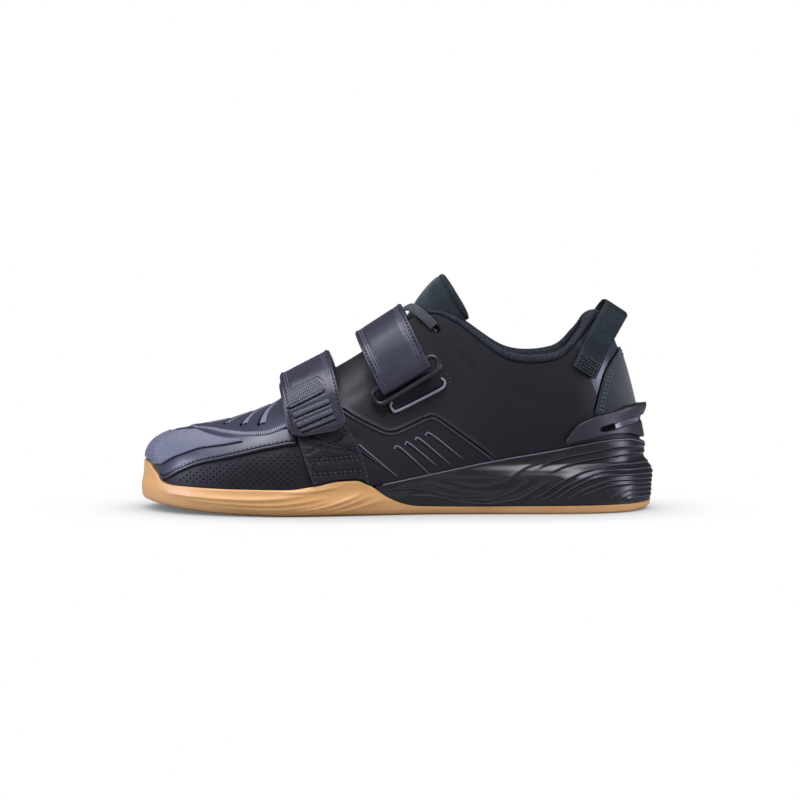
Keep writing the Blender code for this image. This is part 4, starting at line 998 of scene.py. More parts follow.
def overlay(name, cols, low, high, near, far, rows, *materials, relief=None):
    """Shell between two edges of the upper's form, its rim rounded over ROUNDED millimetres."""
    form, edge = Form(), ROUNDED
    for side in (OUTER, INNER):
        s = cols[:, None]
        a, b = table(low, s), table(high, s)
        flat = np.linspace(0.0, 1.0, rows)[None, :]
        base = skin(s, side, a + (b - a) * flat)
        height = np.linalg.norm(np.diff(base, axis=1), axis=2).sum(axis=1)[:, None]
        rim = np.array([0.0, 0.0, 0.1, 0.3, 0.6, 1.0])[None, :] * edge / np.maximum(height, 2.5 * edge)
        middle = np.broadcast_to(flat[:, 1:-1], (len(rim), rows - 2))
        t = np.sort(np.concatenate([rim, middle, 1.0 - rim[:, ::-1]], axis=1), axis=1)
        v = a + (b - a) * t
        e = np.minimum(t, 1 - t) * height
        open_ends = [k for k in (0, -1) if 1e-6 <= cols[k] <= LAST - 1e-6]
        for k in open_ends:
            e = np.minimum(e, np.abs(plan_x(s, side) - plan_x(cols[k], side)))
        e = np.clip(e / edge, 0.0, 1.0)
        top = far - min(edge, (far - near) * 0.8) * (1 - np.sqrt(1 - (1 - e) ** 2))
        top[:, 0], top[:, -1] = near, near
        p = skin(s, side, v)
        if relief:
            top = top + relief(p, s, t) * e
        n = normal(s, side, v)
        face = p + n * top[..., None]
        form.grid(face, point_uv(p))
        back = p + n * near
        form.grid(back)
        for k in open_ends:
            form.seam(back[k], face[k])
    return form.make(name, *materials)


def mudguard():
    cols = stations(0.9, 0.0, 6.08)
    piece = overlay("mudguard_overlay", cols, MUDGUARD_LOW, MUDGUARD_HIGH, 0.6, 1.5, 34, SMOOTH_FILM)
    settle(piece, "upper_leather", "mudguard")
    lip, trim, groove, thread = Form(), Form(), Form(), Form()
    for side in (OUTER, INNER):
        path = on_skin(edge_points(PANEL_EDGE, 0.35, 6.25, 120), side, 1.55, seen=False)
        width = 1.4 + 1.8 * ease(0.0, 0.55, share_of(path))
        ribbon(lip, beside(path, 0.7 * side), width, 0.75, end=0.8)
        low = on_skin(edge_points(MUDGUARD_LOW, 1.9, 6.07, 110), side, 1.3, seen=False)
        ribbon(trim, beside(low, 0.3 * side), 1.1, 0.62, sink=1.0)
        # A near-black strip of painted shade along the groove between the piping and the stitches
        ribbon(groove, beside(low, -0.95 * side, 0.2), 0.7, 0.06)
        stitches(thread, beside(low, -1.9 * side, 0.2), 1.6, 0.9, 0.25)
    settle(lip.make("vamp_lip_strip", RIBBED), "upper_leather")
    settle(trim.make("mudguard_piping", PIPING), "upper_leather")
    settle(groove.make("mudguard_groove_shade", PAINTED_SHADE), "upper_leather")
    settle(thread.make("mudguard_stitching", THREAD), "upper_leather")


def slash_inlays():
    """Textured wedge in each slash of the vamp, flush at the toe side and sunk at the heel side."""
    form, slot = Form(), Form()
    for side in (OUTER, INNER):
        for points, wide, narrow in SLASHES:
            path = on_skin(points, side, lip_lift, step=0.4, seen=False)
            width = slash_width(share_of(path), wide, narrow)
            ribbon(form, beside(path, width * 0.12 * side, 0.05), width * 0.8, 0.3, sink=0.9, end=1.0)
            ribbon(slot, beside(path, -width * 0.45 * side, -0.3), width * 0.36, 0.2, sink=0.4, end=0.6)
    settle(form.make("vamp_slash_inlays", RIBBED), "upper_leather")
    settle(slot.make("vamp_slash_shadows", PAINTED_SHADE), "upper_leather")


# Punched holes: number of rows, spacing along a row, rise from row to row, where the rows end
# behind (z and x), and the rings of a hole (radius, height)
HOLE_ROWS = 11
HOLE_PITCH = 3.8
HOLE_RISE = 1.62
HOLES_END = [(16, -50), (20, -51.5), (34, -54.5), (42, -57)]
HOLE_RINGS = ((0.74, 0.0), (0.64, 0.05), (0.53, 0.03), (0.48, 0.04), (0.0, 0.04))


def perforations():
    """Staggered punched holes in the forefoot panel: an eye of painted shade with a soft rim."""
    form = Form()
    turn = circle(8)
    for side in (OUTER, INNER):
        x, row = np.meshgrid(np.arange(-121.0, -56.0, HOLE_PITCH), np.arange(HOLE_ROWS), indexing="ij")
        x = (x + HOLE_PITCH / 2 * (row % 2)).ravel()
        z = table(GUM_TOP, x) + 3.4 + HOLE_RISE * row.ravel()
        s, v = locate(x, z, side)
        tall = np.linalg.norm(skin(s, side, v) - skin(s, side, 0.0), axis=-1)
        keep = (v < table(MUDGUARD_LOW, s) - 0.055) & (tall > 1.8) & (x < table(HOLES_END, z))
        s, v = s[keep], v[keep]
        p, n = off(s, side, v, 0.04), normal(s, side, v)
        a = unit(np.cross(n, (0.0, 0.0, 1.0)))
        b = np.cross(n, a)
        for k in range(len(s)):
            around = a[k] * np.cos(turn)[:, None] + b[k] * np.sin(turn)[:, None]
            q = np.stack([p[k] + around * r + n[k] * h for r, h in HOLE_RINGS])
            # The inner rings take the painted shade as the hole's dark eye
            form.grid(q, ring=True, slot=np.array([[0], [0], [1], [1]]))
    settle(form.make("forefoot_perforations", UPPER_LEATHER, PAINTED_SHADE), "upper_leather")


def quarter_lines():
    """Thin raised lines of the quarter: the double seam, the chevrons and the side slash."""
    seam, mark = Form(), Form()
    path = on_skin(QUARTER_SEAM, OUTER)
    ribbon(seam, beside(path, -1.15, 0.45), 0.65, 0.18, end=1.0)
    ribbon(seam, beside(path, 1.15, 0.3), 0.5, 0.16, end=6.0)
    for points in CHEVRONS:
        path = on_skin(points, OUTER, 0.25, step=0.35)
        share = share_of(path)
        ribbon(mark, path, 0.95 - 0.7 * share, 0.26 * (1 - share) + 0.04, sink=0.5, end=0.6)
    path = on_skin(SIDE_SLASH, OUTER, 0.1, step=0.4)
    share = share_of(path)
    ribbon(seam, beside(path, -0.9 + 0.9 * share), 0.75 - 0.4 * share, 0.25, sink=0.4, end=0.6)
    ribbon(mark, beside(path, 1.3 - 1.3 * share), 1.0 - 0.7 * share, 0.25, sink=0.4, end=0.6)
    settle(seam.make("quarter_seam_lines", PIPING), "upper_leather")
    settle(mark.make("quarter_textured_marks", RIBBED), "upper_leather")


def toe_cap():
    cols = stations(0.9, 0.0, 4.4)
    piece = overlay("toe_cap_film", cols, CAP_LOW, CAP_HIGH, 2.05, 2.8, 34, CAP_FILM)
    settle(piece, "upper_leather", "toe_cap")


def heel_counter():
    cols = stations(0.7, 13.7)
    low = [(s, v + 0.012) for s, v in CLIP_HIGH]
    piece = overlay("heel_counter_nubuck", cols, low, COUNTER_HIGH, 0.5, 1.6, 40, NUBUCK)
    settle(piece, "nubuck", "heel_counter")


# Middle line of the cradle's slot, x and z
CLIP_SLOT = [(116.6, 47.5), (124.0, 49.0), (132.0, 50.6), (141.0, 51.6)]


def clip_relief(p, s, t):
    """Slot in the cradle's side, and the lip that flares out at the back."""
    d, _, _ = from_line(p[..., 0], p[..., 2], smooth_line(CLIP_SLOT, 1.0))
    slot = ease(2.0, 1.4, d) * ease(138.5, 136.5, p[..., 0])
    flare = 4.6 * ease(13.9, 16.0, s) * ease(0.5, 0.95, t)
    return flare - 1.7 * slot


def heel_clip():
    cols = stations(0.6, 12.85)
    piece = overlay("heel_clip_moulded", cols, CLIP_LOW, CLIP_HIGH, 0.5, 2.7, 38, CLIP, GLOSS, PAINTED_SHADE,
                    relief=clip_relief)
    mesh = piece.data
    line = smooth_line(CLIP_SLOT, 1.0)
    middle = np.zeros(len(mesh.polygons) * 3)
    mesh.polygons.foreach_get("center", middle)
    x, _, z = middle.reshape(-1, 3).T / MM
    d, _, share = from_line(x, z, line)
    inside = (d < 1.65) & (x < 138.0)
    # Faces inside the slot take the glossy moulding, and at its front end the painted shade
    kind = np.where(inside, np.where(share > 0.3, 1, 2), 0)
    mesh.polygons.foreach_set("material_index", kind.astype(np.int32))
    settle(piece, "clip_plastic", "heel_clip")


# Straps: a course of rows (x, y, z, slope, width, twist) swept by a cross-section
W = STRAP_WIDTH
FRONT_STRAP = [
    (-42.6, -47.2, 46.5, 11, W * 0.86), (-43.2, -47.0, 49.5, 11, W), (-45.0, -45.8, 57, 13, W),
    (-47.2, -41.5, 67, 17, W), (-49.8, -31, 76.6, 21, W), (-51.6, -16, 81.2, 26, W),
    (-52.2, 0, 82.3, 27.5, W), (-51.8, 16, 80.8, 26, W), (-50.3, 30, 75.5, 22, W),
    (-48.3, 40, 67, 18, W), (-47.0, 45.8, 58, 15, W, -0.08), (-46.6, 47.5, 52.5, 14, W, -0.1),
    (-46.4, 44.1, 48.7, 14, W, -0.1), (-46.6, 40.5, 51.4, 14, W, -0.1), (-47.0, 38.9, 57, 15, W, -0.09),
    (-48.8, 34.9, 65.0, 18, W, -0.04), (-50.8, 26, 72.8, 23, W), (-52.0, 13, 76.6, 26, W),
    (-52.4, 0, 77.6, 27.5, W), (-52.0, -14, 76.3, 26, W), (-50.3, -26.5, 71.6, 22, W),
    (-48.3, -36, 64.2, 18, W), (-46.4, -41.6, 56.0, 15, W), (-45.4, -43.2, 52.6, 14, W)]
DOWN = np.array((0.444, 0.0, -0.896))
CREST = np.array((-9.9, 0.0, 107.6))


def instep(y, h, slope, width=W):
    p = CREST + DOWN * h
    return (p[0], y, p[2], slope, width)


TOP_STRAP = [
    instep(39.0, 47, 24, W * 0.86), instep(38.6, 43.5, 25), instep(36.9, 34, 27), instep(34.2, 25, 29),
    instep(30.6, 16, 31), instep(24.8, 8.5, 32), instep(16.5, 3.0, 33), instep(8.5, 0.7, 33),
    instep(0.0, 0.0, 33), instep(-8.5, 0.7, 33), instep(-16.5, 3.0, 33), instep(-25.0, 8.5, 32),
    instep(-31.0, 16, 31), instep(-35.2, 25, 31), instep(-37.2, 31.5, 31.2), instep(-36.6, 35.4, 31.2),
    instep(-33.6, 36.2, 31.2), instep(-31.1, 33.0, 31.2), instep(-28.6, 25.0, 31),
    instep(-25.0, 17.0, 31.5), instep(-19.0, 10.2, 32), instep(-12.0, 6.4, 33), instep(0.0, 4.9, 33),
    instep(12.0, 6.4, 33), instep(18.6, 10.2, 32), instep(23.8, 16.5, 31), instep(27.4, 25, 29),
    instep(30.8, 36, 26), instep(33.4, 48, 23), instep(35.2, 60, 19), instep(36.0, 72, 16),
    instep(36.0, 85, 13)]


def band_frames(rows, step=1.0):
    """Middle line of a band, with its cross direction, its face's normal and its widths."""
    rows = [list(r) + [0.0] * (6 - len(r)) for r in rows]
    q = np.array(rows, float)
    ends = np.concatenate([q[:1], q, q[-1:]])
    count = int(run_of(q[:, :3])[-1] / step)
    fine = np.linspace(0.0, len(q) - 1.0, 30 * len(q))
    course = flow(ends, fine)
    run = run_of(course[:, :3])
    at = np.linspace(0, run[-1], count)
    course = resampled(at, run, course)
    c = course[:, :3]
    run = unit(np.gradient(c, axis=0))
    slope = np.radians(course[:, 3])
    w = np.stack([np.cos(slope), course[:, 5], np.sin(slope)], axis=1)
    w = unit(w - run * (w * run).sum(axis=1, keepdims=True))
    n = unit(np.cross(run, w))
    return c, w, n, course[:, 4], run_of(c)


def band(name, rows, thick, *materials, step, across, relief=None, tip=0.0, outer=1):
    """Strap with rounded edges; tip rounds its end in plan. relief gives the lift of the
    outer face at (run, offset across, half width); outer says which face that is."""
    c, w, n, width, run = band_frames(rows, step)
    half = width / 2
    if tip:
        half = half - tip * (1 - np.sqrt(np.maximum(0.0, 1 - np.clip(1.0 - run / tip, 0.0, 1.0) ** 2)))
    edge = min(0.7, thick * 0.4)
    inner = np.linspace(-1.0, 1.0, across)
    lead = np.array([0.0, 0.0, 0.12, 0.35, 0.65])
    form = Form()
    faces = []
    for face in (1, -1):
        flat = (half[:, None] - edge) * inner[None, :]
        left = -half[:, None] + lead[None, :] * edge
        t = np.concatenate([left, flat, -left[:, ::-1]], axis=1)
        e = np.clip((half[:, None] - np.abs(t)) / edge, 0.0, 1.0)
        lift = (thick / 2 - edge * (1 - np.sqrt(1 - (1 - e) ** 2)))
        lift[:, 0], lift[:, -1] = 0.0, 0.0
        if face == outer and relief:
            lift = lift + relief(run[:, None], t, half[:, None]) * e
        p = c[:, None] + w[:, None] * t[..., None] + n[:, None] * (lift * face)[..., None]
        faces.append(p)
        form.grid(p, np.stack(np.broadcast_arrays(run[:, None], t + 50.0), axis=-1))
    for k in (0, -1):
        form.seam(faces[0][k], faces[1][k])
    return form.make(name, *materials)


# On the front strap, as run from its tip and offset across (minus to the toe): the corners of
# the gripping block, and the bars with the width of each
GRIP_BLOCK = [(17.0, -13.8), (29.0, -13.8), (32.8, 6.0), (27.5, 9.6), (22.0, 7.6)]
BLOCK_FOOT = [GRIP_BLOCK[0], GRIP_BLOCK[4]]
BLOCK_RIBS = 7
BARS = [((10.7, -12.0), (14.8, 9.5), 2.6), ((5.2, -11.4), (8.8, 10.3), 2.4),
        ((2.4, -9.5), (5.2, 10.6), 1.3)]
# Both straps: inset of the stitches, and of the two lines pressed in beside them
STITCH_INSET = 1.5
PRESSED = (3.0, 4.4)


def in_shape(a, b, corners):
    """1 inside a convex shape, falling softly to 0 round it."""
    c = np.array(corners, float)
    turn = np.sign(np.cross(c[1] - c[0], c[2] - c[1]))
    inside = np.full(np.broadcast(a, b).shape, 1e9)
    for p, q in zip(c, np.roll(c, -1, axis=0)):
        d = (q - p) / np.linalg.norm(q - p)
        inside = np.minimum(inside, turn * (d[0] * (b - p[1]) - d[1] * (a - p[0])))
    return ease(-0.4, 0.4, inside)


def edge_grooves(run, t, half, start):
    """Trough of the stitches all round, and of the pressed lines from start on."""
    inset = half - np.abs(t)
    stitch = bell(inset - STITCH_INSET, 0.5) * ease(2.0, 4.0, run) + bell(run - STITCH_INSET, 0.5)
    lines = bell(inset - 3.4, 0.5) + bell(inset - 4.9, 0.5)
    return -0.3 * lines * ease(start, start + 4.0, run) - 0.25 * np.minimum(stitch, 1.0)


def front_relief(run, t, half):
    run, across = np.broadcast_arrays(run, t)
    lift = 0.55 * in_shape(run, across, GRIP_BLOCK) - 0.9 * bell(from_line(run, across, BLOCK_FOOT)[0], 0.7)
    for a, b, _ in BARS:
        lift = lift - 0.75 * bell(from_line(run, across, [a, b])[0], 0.6)
    return lift + edge_grooves(run, t, half, 30.0)


def top_relief(run, t, half):
    return edge_grooves(run, t, half, 42.0)


def edge_path(rows, last):
    """Stitch line round a strap: up one long side, round the tip and down the other."""
    _, _, _, width, run = band_frames(rows, 0.5)
    inset = STITCH_INSET

    def side_of(sign, at):
        return [(a, sign * (np.interp(a, run, width) / 2 - inset)) for a in at]
    at = np.arange(last, 6.0, -2.0)
    half = float(np.interp(0.0, run, width)) / 2 - inset
    corner = [(4.2, -half), (2.4, -half + 0.5), (inset, -half + 2.6), (inset, 0.0), (inset, half - 2.6),
              (2.4, half - 0.5), (4.2, half)]
    return side_of(-1, at) + corner + side_of(1, at[::-1])


def strap_stitching(name, rows, face, stitched_to, pressed_from, pressed_to):
    """Black stitches near the edge and two pressed lines inside them, painted pale as a highlight, on each
    long side.
    """
    form = Form()
    stitches(form, on_band(rows, face, edge_path(rows, stitched_to)), 1.5, 1.0, 0.38)
    for gap in PRESSED:
        for sign in (-1, 1):
            line = [(run, sign * (STRAP_WIDTH / 2 - gap)) for run in np.arange(pressed_from, pressed_to, 6.0)]
            ribbon(form, on_band(rows, face, line, -0.1), 0.5, 0.28, slot=1, end=2.0)
    settle(form.make(name, THREAD_BLACK, EMBOSSED_HIGHLIGHT), "upper_leather")


def front_strap():
    piece = band("front_strap_outer", FRONT_STRAP, STRAP_THICK, STRAP_FACE, step=0.7, across=60, tip=5.0,
                 relief=front_relief, outer=-1)
    settle(piece, "upper_leather", "front_strap")
    strap_stitching("front_strap_stitching", FRONT_STRAP, -1, 104.0, 33.0, 108.0)
    form, slot = Form(), Form()

    def strip(to, line, width, height, lift):
        ribbon(to, on_band(FRONT_STRAP, -1, line, lift, smooth=False), width, height, end=0.5)
    for a, b, wide in BARS:
        line = np.array([a, b])
        strip(form, line + (wide / 2 + 0.75, 0.0), wide, 0.34, 0.0)
        # Near-black strips of painted shade lie in the troughs of the bars and along the block's foot
        strip(slot, line, 1.0, 0.1, -0.55)
    strip(slot, BLOCK_FOOT, 1.1, 0.1, -0.55)
    settle(slot.make("front_strap_groove_shade", PAINTED_SHADE), "upper_leather")
    c = np.array(GRIP_BLOCK)
    for k in range(BLOCK_RIBS):
        share = (k + 0.5) / BLOCK_RIBS
        a = c[0] * (1 - share) + c[1] * share + (0.0, 0.9)
        b = c[4] * (1 - share) + c[2] * share - (0.0, 1.0) + (0.0, 2.2 * (1 - abs(share - 0.45) * 2))
        ribbon(form, on_band(FRONT_STRAP, -1, [a, b], 0.5, smooth=False), 1.35, 0.3, end=0.6)
    settle(form.make("front_strap_grip", GRIP), "upper_leather")


def top_strap():
    piece = band("top_strap_outer", TOP_STRAP, STRAP_THICK, STRAP_FACE, step=0.8, across=48, tip=5.0,
                 relief=top_relief)
    settle(piece, "upper_leather", "top_strap")
    strap_stitching("top_strap_stitching", TOP_STRAP, 1, 118.0, 45.0, 118.0)


# Anchor of the front strap in the side view: its edges as z and x, its top, the lines of
# stitching and the fold
BASE_LEFT = [(18.0, -46.3), (28.0, -49.8), (40.8, -53.9), (50.0, -57.2)]
BASE_RIGHT = [(18.0, -14.9), (30.7, -18.3), (38.9, -21.6), (50.0, -28.2)]
BASE_TOP = 50.5
CROSS_STITCH = [[(-29.0, 46.4), (-46.8, 25.6)], [(-50.1, 39.5), (-19.0, 34.0)],
                [(-50.0, 46.5), (-22.5, 34.0)], [(-27.5, 46.0), (-49.0, 35.0)]]
DASH_ROWS = [[(-48.4, 31.4), (-20.4, 33.4)], [(-48.0, 29.6), (-19.6, 31.4)], [(-46.8, 24.0), (-17.6, 25.4)],
             [(-46.4, 22.2), (-17.2, 23.4)]]
BASE_FOLD = [(-46.0, 41.5), (-34.0, 38.0), (-24.0, 40.5)]


def sheet_on_upper(name, corner, rows, columns, near, far, side, *materials, relief=None):
    """Rounded sheet laid on the upper; corner(u, t) gives its x and z in the side view."""
    edge = ROUNDED
    def spread(count):
        rim = np.array([0.0, 0.0, 0.03, 0.08]) * 0.4
        return np.concatenate([rim, np.linspace(0.05, 0.95, count), 1 - rim[::-1]])
    u, t = np.meshgrid(spread(columns), spread(rows), indexing="ij")
    x, z = corner(u, t)
    s, v = locate(x.ravel(), z.ravel(), side)
    s, v = s.reshape(u.shape), v.reshape(u.shape)
    p, n = skin(s, side, v), normal(s, side, v)
    width = np.linalg.norm(np.diff(p, axis=0), axis=2).sum(axis=0)[None, :]
    height = np.linalg.norm(np.diff(p, axis=1), axis=2).sum(axis=1)[:, None]
    e = np.minimum(np.minimum(u, 1 - u) * width, np.minimum(t, 1 - t) * height)
    e = np.clip(e / edge, 0.0, 1.0)
    lift = far - edge * (1 - np.sqrt(1 - (1 - e) ** 2))
    if relief:
        lift = lift + relief(x, z) * e
    lift[0], lift[-1], lift[:, 0], lift[:, -1] = near, near, near, near
    form = Form()
    uv = np.stack([x, z], axis=-1)
    form.grid(p + n * lift[..., None], uv)
    form.grid(p + n * near, uv)
    return form.make(name, *materials)


def base_corner(u, t):
    """Corner function of the anchor: foot on the sole, sides along BASE_LEFT and BASE_RIGHT."""
    foot_x = -46.3 + 31.4 * u
    foot = np.maximum(table(GUM_TOP, foot_x), table(WEDGE_TOP, foot_x)) + 1.0
    z = foot + (BASE_TOP - foot) * t
    return table(BASE_LEFT, z) * (1 - u) + table(BASE_RIGHT, z) * u, z


def base_relief(x, z):
    """Troughs where the stitches pull the anchor down, and its fold."""
    lift = np.zeros(np.shape(x))
    for line in CROSS_STITCH + DASH_ROWS:
        lift = lift - 0.5 * bell(from_line(x, z, line)[0], 0.9)
    return lift + 0.6 * bell(from_line(x, z, BASE_FOLD)[0], 2.6)


def front_strap_base():
    piece = sheet_on_upper("front_strap_anchor", base_corner, 90, 80, GAP, 2.1, OUTER, UPPER_LEATHER,
                           relief=base_relief)
    settle(piece, "upper_leather", "front_strap_base")
    thread, edging = Form(), Form()
    for line in CROSS_STITCH:
        stitches(thread, on_skin(line, OUTER, 2.0), 1.6, 0.8, 0.27)
    for line in DASH_ROWS:
        stitches(thread, on_skin(line, OUTER, 1.95), 1.7, 1.0, 0.42)
    for rows, turn in ((BASE_LEFT, 1.4), (BASE_RIGHT, -1.4)):
        line = [(x + turn, z) for z, x in rows]
        stitches(thread, on_skin(line, OUTER, 2.05), 1.6, 0.9, 0.26)
        ribbon(edging, on_skin([(x + turn * 0.2, z) for z, x in rows], OUTER, 1.9), 0.5, 0.25)
    settle(thread.make("base_stitching", THREAD), "upper_leather")
    settle(edging.make("base_edge", PIPING), "upper_leather")


# Rings
RING_LONG = 20.6
RING_SHORT = 4.6
RING_CORNER = 3.4
RING_WIRE = 1.35


def ring(name, node, centre, across, down):
    """Rounded rectangle of wire; across is its long way, down its short way."""
    centre, across, down = np.array(centre), unit(np.array(across)), np.array(down)
    down = unit(down - across * down.dot(across))
    path = []
    corner = RING_CORNER
    for cx, cy, a0 in ((1, 1, 0), (-1, 1, 90), (-1, -1, 180), (1, -1, 270)):
        for a in np.radians(a0 + np.linspace(0, 90, 9)):
            path.append(centre + across * (cx * (RING_LONG - corner) + corner * math.cos(a))
                        + down * (cy * (RING_SHORT - corner) + corner * math.sin(a)))
    path = np.array(path + path[:1])
    run = unit(np.roll(path[:-1], -1, axis=0) - np.roll(path[:-1], 1, axis=0))
    run = np.concatenate([run, run[:1]])
    up = unit(np.cross(across, down))
    turn = circle(16)
    side = np.cross(run, up)
    p = (path[:, None] + up[None, None] * (RING_WIRE * np.sin(turn))[None, :, None]
         + side[:, None] * (RING_WIRE * np.cos(turn))[None, :, None])
    form = Form()
    form.grid(p, ring=True)
    settle(form.make(name, METAL), "ring_metal", node)


def rings():
    slant = math.radians(14)
    ring("top_ring_moulded", "top_ring", (5.9, -35.65, 75.4), (0.855, 0.0, 0.518), (0.37, -0.30, -0.87))
    ring("front_ring_moulded", "front_ring", (-46.0, 45.1, 49.2), (math.cos(slant), -0.1, math.sin(slant)),
         (0.2, 0.33, -0.93))


def tab_corner(centre, across, length, height):
    """Corner function of a slanted rectangular tab, centre and direction in x and z."""
    def corner(u, t):
        a, b = (u - 0.5) * length, (t - 0.5) * height
        return centre[0] + across[0] * a - across[1] * b, centre[1] + across[1] * a + across[0] * b
    return corner


def ring_tabs():
    piece = sheet_on_upper("top_ring_holder", tab_corner((10.4, 68.6), (0.89, 0.456), 34.0, 8.6), 20, 50,
                           GAP, 2.0, OUTER, UPPER_LEATHER)
    settle(piece, "upper_leather", "top_ring_tab")
    piece = sheet_on_upper("front_ring_holder", tab_corner((-44.5, 35.4), (0.97, 0.24), 31.0, 11.0), 24, 50,
                           GAP, 2.0, INNER, UPPER_LEATHER)
    settle(piece, "upper_leather", "front_ring_tab")


# Rim of the recess round the outer ring and the stitches outside it, x and z
TAB_RIM = [(-2.2, 62.6), (-3.1, 60.2), (-1.8, 58.2), (0.6, 57.7), (13.5, 63.9), (24.6, 69.6), (27.2, 71.8),
           (27.4, 74.2), (25.3, 76.0)]
TAB_SEAM = [(-6.0, 62.0), (-5.6, 57.6), (-2.4, 55.2), (1.6, 55.6), (14.3, 61.8), (26.6, 67.8), (30.2, 71.6),
            (30.2, 76.0), (27.6, 79.4)]


def ring_surround():
    """Rim with a painted highlight, and stitching round the recess that holds the outer ring."""
    rim, thread, stripe = Form(), Form(), Form()
    ribbon(rim, on_skin(TAB_RIM, OUTER, 2.0), 1.3, 0.6, sink=1.6)
    stitches(thread, on_skin(TAB_SEAM, OUTER, 0.1), 1.4, 0.8, 0.28)
    ribbon(stripe, on_skin([(-6.0, 66.8), (19.6, 81.2)], OUTER, 2.4), 1.3, 0.3)
    settle(rim.make("ring_recess_rim", RIM_HIGHLIGHT), "upper_leather")
    settle(thread.make("ring_recess_stitching", THREAD), "upper_leather")
    settle(stripe.make("ring_holder_stripe", RIBBED), "upper_leather")


def heel_stitching():
    """Double stitches inside the counter's top edge, and a line of painted shade along it."""
    thread, seam = Form(), Form()
    for side in (OUTER, INNER):
        edge = on_skin(edge_points(COUNTER_HIGH, 13.72, 15.985, 50), side, 1.6, seen=False)
        for inset in (2.0, 3.9):
            stitches(thread, beside(edge, inset * side), 1.3, 1.1, 0.3)
        ribbon(seam, beside(edge, -0.4 * side, -1.5), 1.3, 0.1)
    settle(thread.make("heel_counter_stitching", THREAD_LIGHT), "nubuck")
    settle(seam.make("heel_counter_seam_shade", PAINTED_SHADE), "nubuck")


# Pull loop: free rows as x, z and the half widths in front and behind; sewn rows as x, z
LOOP_WIDTH = 14.8
LOOP_HALF_THICK = 0.75
LOOP_RIB = 1.05
LOOP_STITCH_ROWS = 6
LOOP_FREE = [(114.2, 97.0, 29.2, 25.0), (118.4, 104.5, 26.0, 23.6), (122.4, 111.2, 21.6, 20.6),
             (124.3, 113.9, 17.6, 17.2), (125.0, 114.9, 12.4, 12.4)]
LOOP_SEWN = [(105.4, 79.6), (107.9, 84.6), (110.6, 90.2)]
LOOP_LEAN = np.array((math.cos(math.radians(33)), 0.0, -math.sin(math.radians(33)))) * LOOP_WIDTH / 2


def loop_edges(side):
    """Front edge, middle and back edge of the webbing, from its sewn end up to the crown."""
    rows = []
    for x, z in LOOP_SEWN:
        s, v = locate([x - LOOP_LEAN[0], x + LOOP_LEAN[0]], [z - LOOP_LEAN[2], z + LOOP_LEAN[2]], side)
        a, b = off(s, side, v, GAP + 0.95)
        rows.append((a, (a + b) / 2 + (0.0, side * 0.5, 0.0), b))
    for x, z, front, back in LOOP_FREE:
        a = np.array((x - LOOP_LEAN[0], side * front, z - LOOP_LEAN[2]))
        b = np.array((x + LOOP_LEAN[0], side * back, z + LOOP_LEAN[2]))
        rows.append((a, (a + b) / 2, b))
    return rows


def pull_loop():
    crown = [(np.array((119.0, 0.0, 119.13)), np.array((125.2, 0.0, 115.1)), np.array((131.4, 0.0, 111.07)))]
    rows = np.array(loop_edges(OUTER) + crown + loop_edges(INNER)[::-1])
    ends = np.concatenate([rows[:1], rows, rows[-1:]]).reshape(len(rows) + 2, -1)
    fine = flow(ends, np.linspace(0, len(rows) - 1.0, 600))
    run = run_of(fine[:, 3:6])
    at = np.linspace(0, run[-1], 460)
    lines = resampled(at, run, fine).reshape(-1, 3, 3)
    t = np.linspace(-1, 1, 15)[None, :, None]
    front, middle, back = (lines[:, None, k] for k in range(3))
    p = middle + (back - front) / 2 * t + ((back + front) / 2 - middle) * t ** 2
    n = unit(np.cross(np.gradient(p, axis=0), np.gradient(p, axis=1)))
    n = n * np.sign((n[:1, 7, 1]).mean()) * -1.0
    across = np.abs(t[..., 0])
    rib = 0.14 * np.cos(at / LOOP_RIB * 2 * np.pi)[:, None] * np.sqrt(1 - across ** 8)
    thick = LOOP_HALF_THICK * np.sqrt(1 - across ** 10)
    form = Form()
    uv = np.stack(np.broadcast_arrays(at[:, None], t[..., 0] * LOOP_WIDTH / 2 + 20), axis=-1)
    sides = [p + n * ((thick + rib) * d)[..., None] for d in (1, -1)]
    for q in sides:
        form.grid(q, uv)
    for k in (0, -1):
        form.seam(sides[0][k], sides[1][k])
    settle(form.make("pull_loop_webbing", WEBBING), "webbing", "pull_loop")
    thread = Form()
    for side in (OUTER, INNER):
        for k in range(LOOP_STITCH_ROWS):
            start = np.array((100.2, 83.2)) + (0.62 * k, 1.36 * k)
            row = on_skin([start, start + (11.2, -7.3)], side, GAP + 1.95)
            stitches(thread, row, 1.2, 0.5, 0.4, lean=0.25)
    settle(thread.make("pull_loop_box_stitch", THREAD), "webbing")


# Collar roll: its section round the top edge, as offset outward and rise along the wall
ROLL = [(0.1, 0.5), (0.8, 2.0), (0.2, 3.8), (-2.2, 5.2), (-5.6, 5.2), (-8.4, 3.4), (-9.2, 0.2),
        (-8.6, -5.5), (-7.0, -11.5), (-4.4, -14.5), (-2.6, -12.5), (-2.4, -6.0), (-2.4, 0.5)]
ROLL_FROM = 9.95


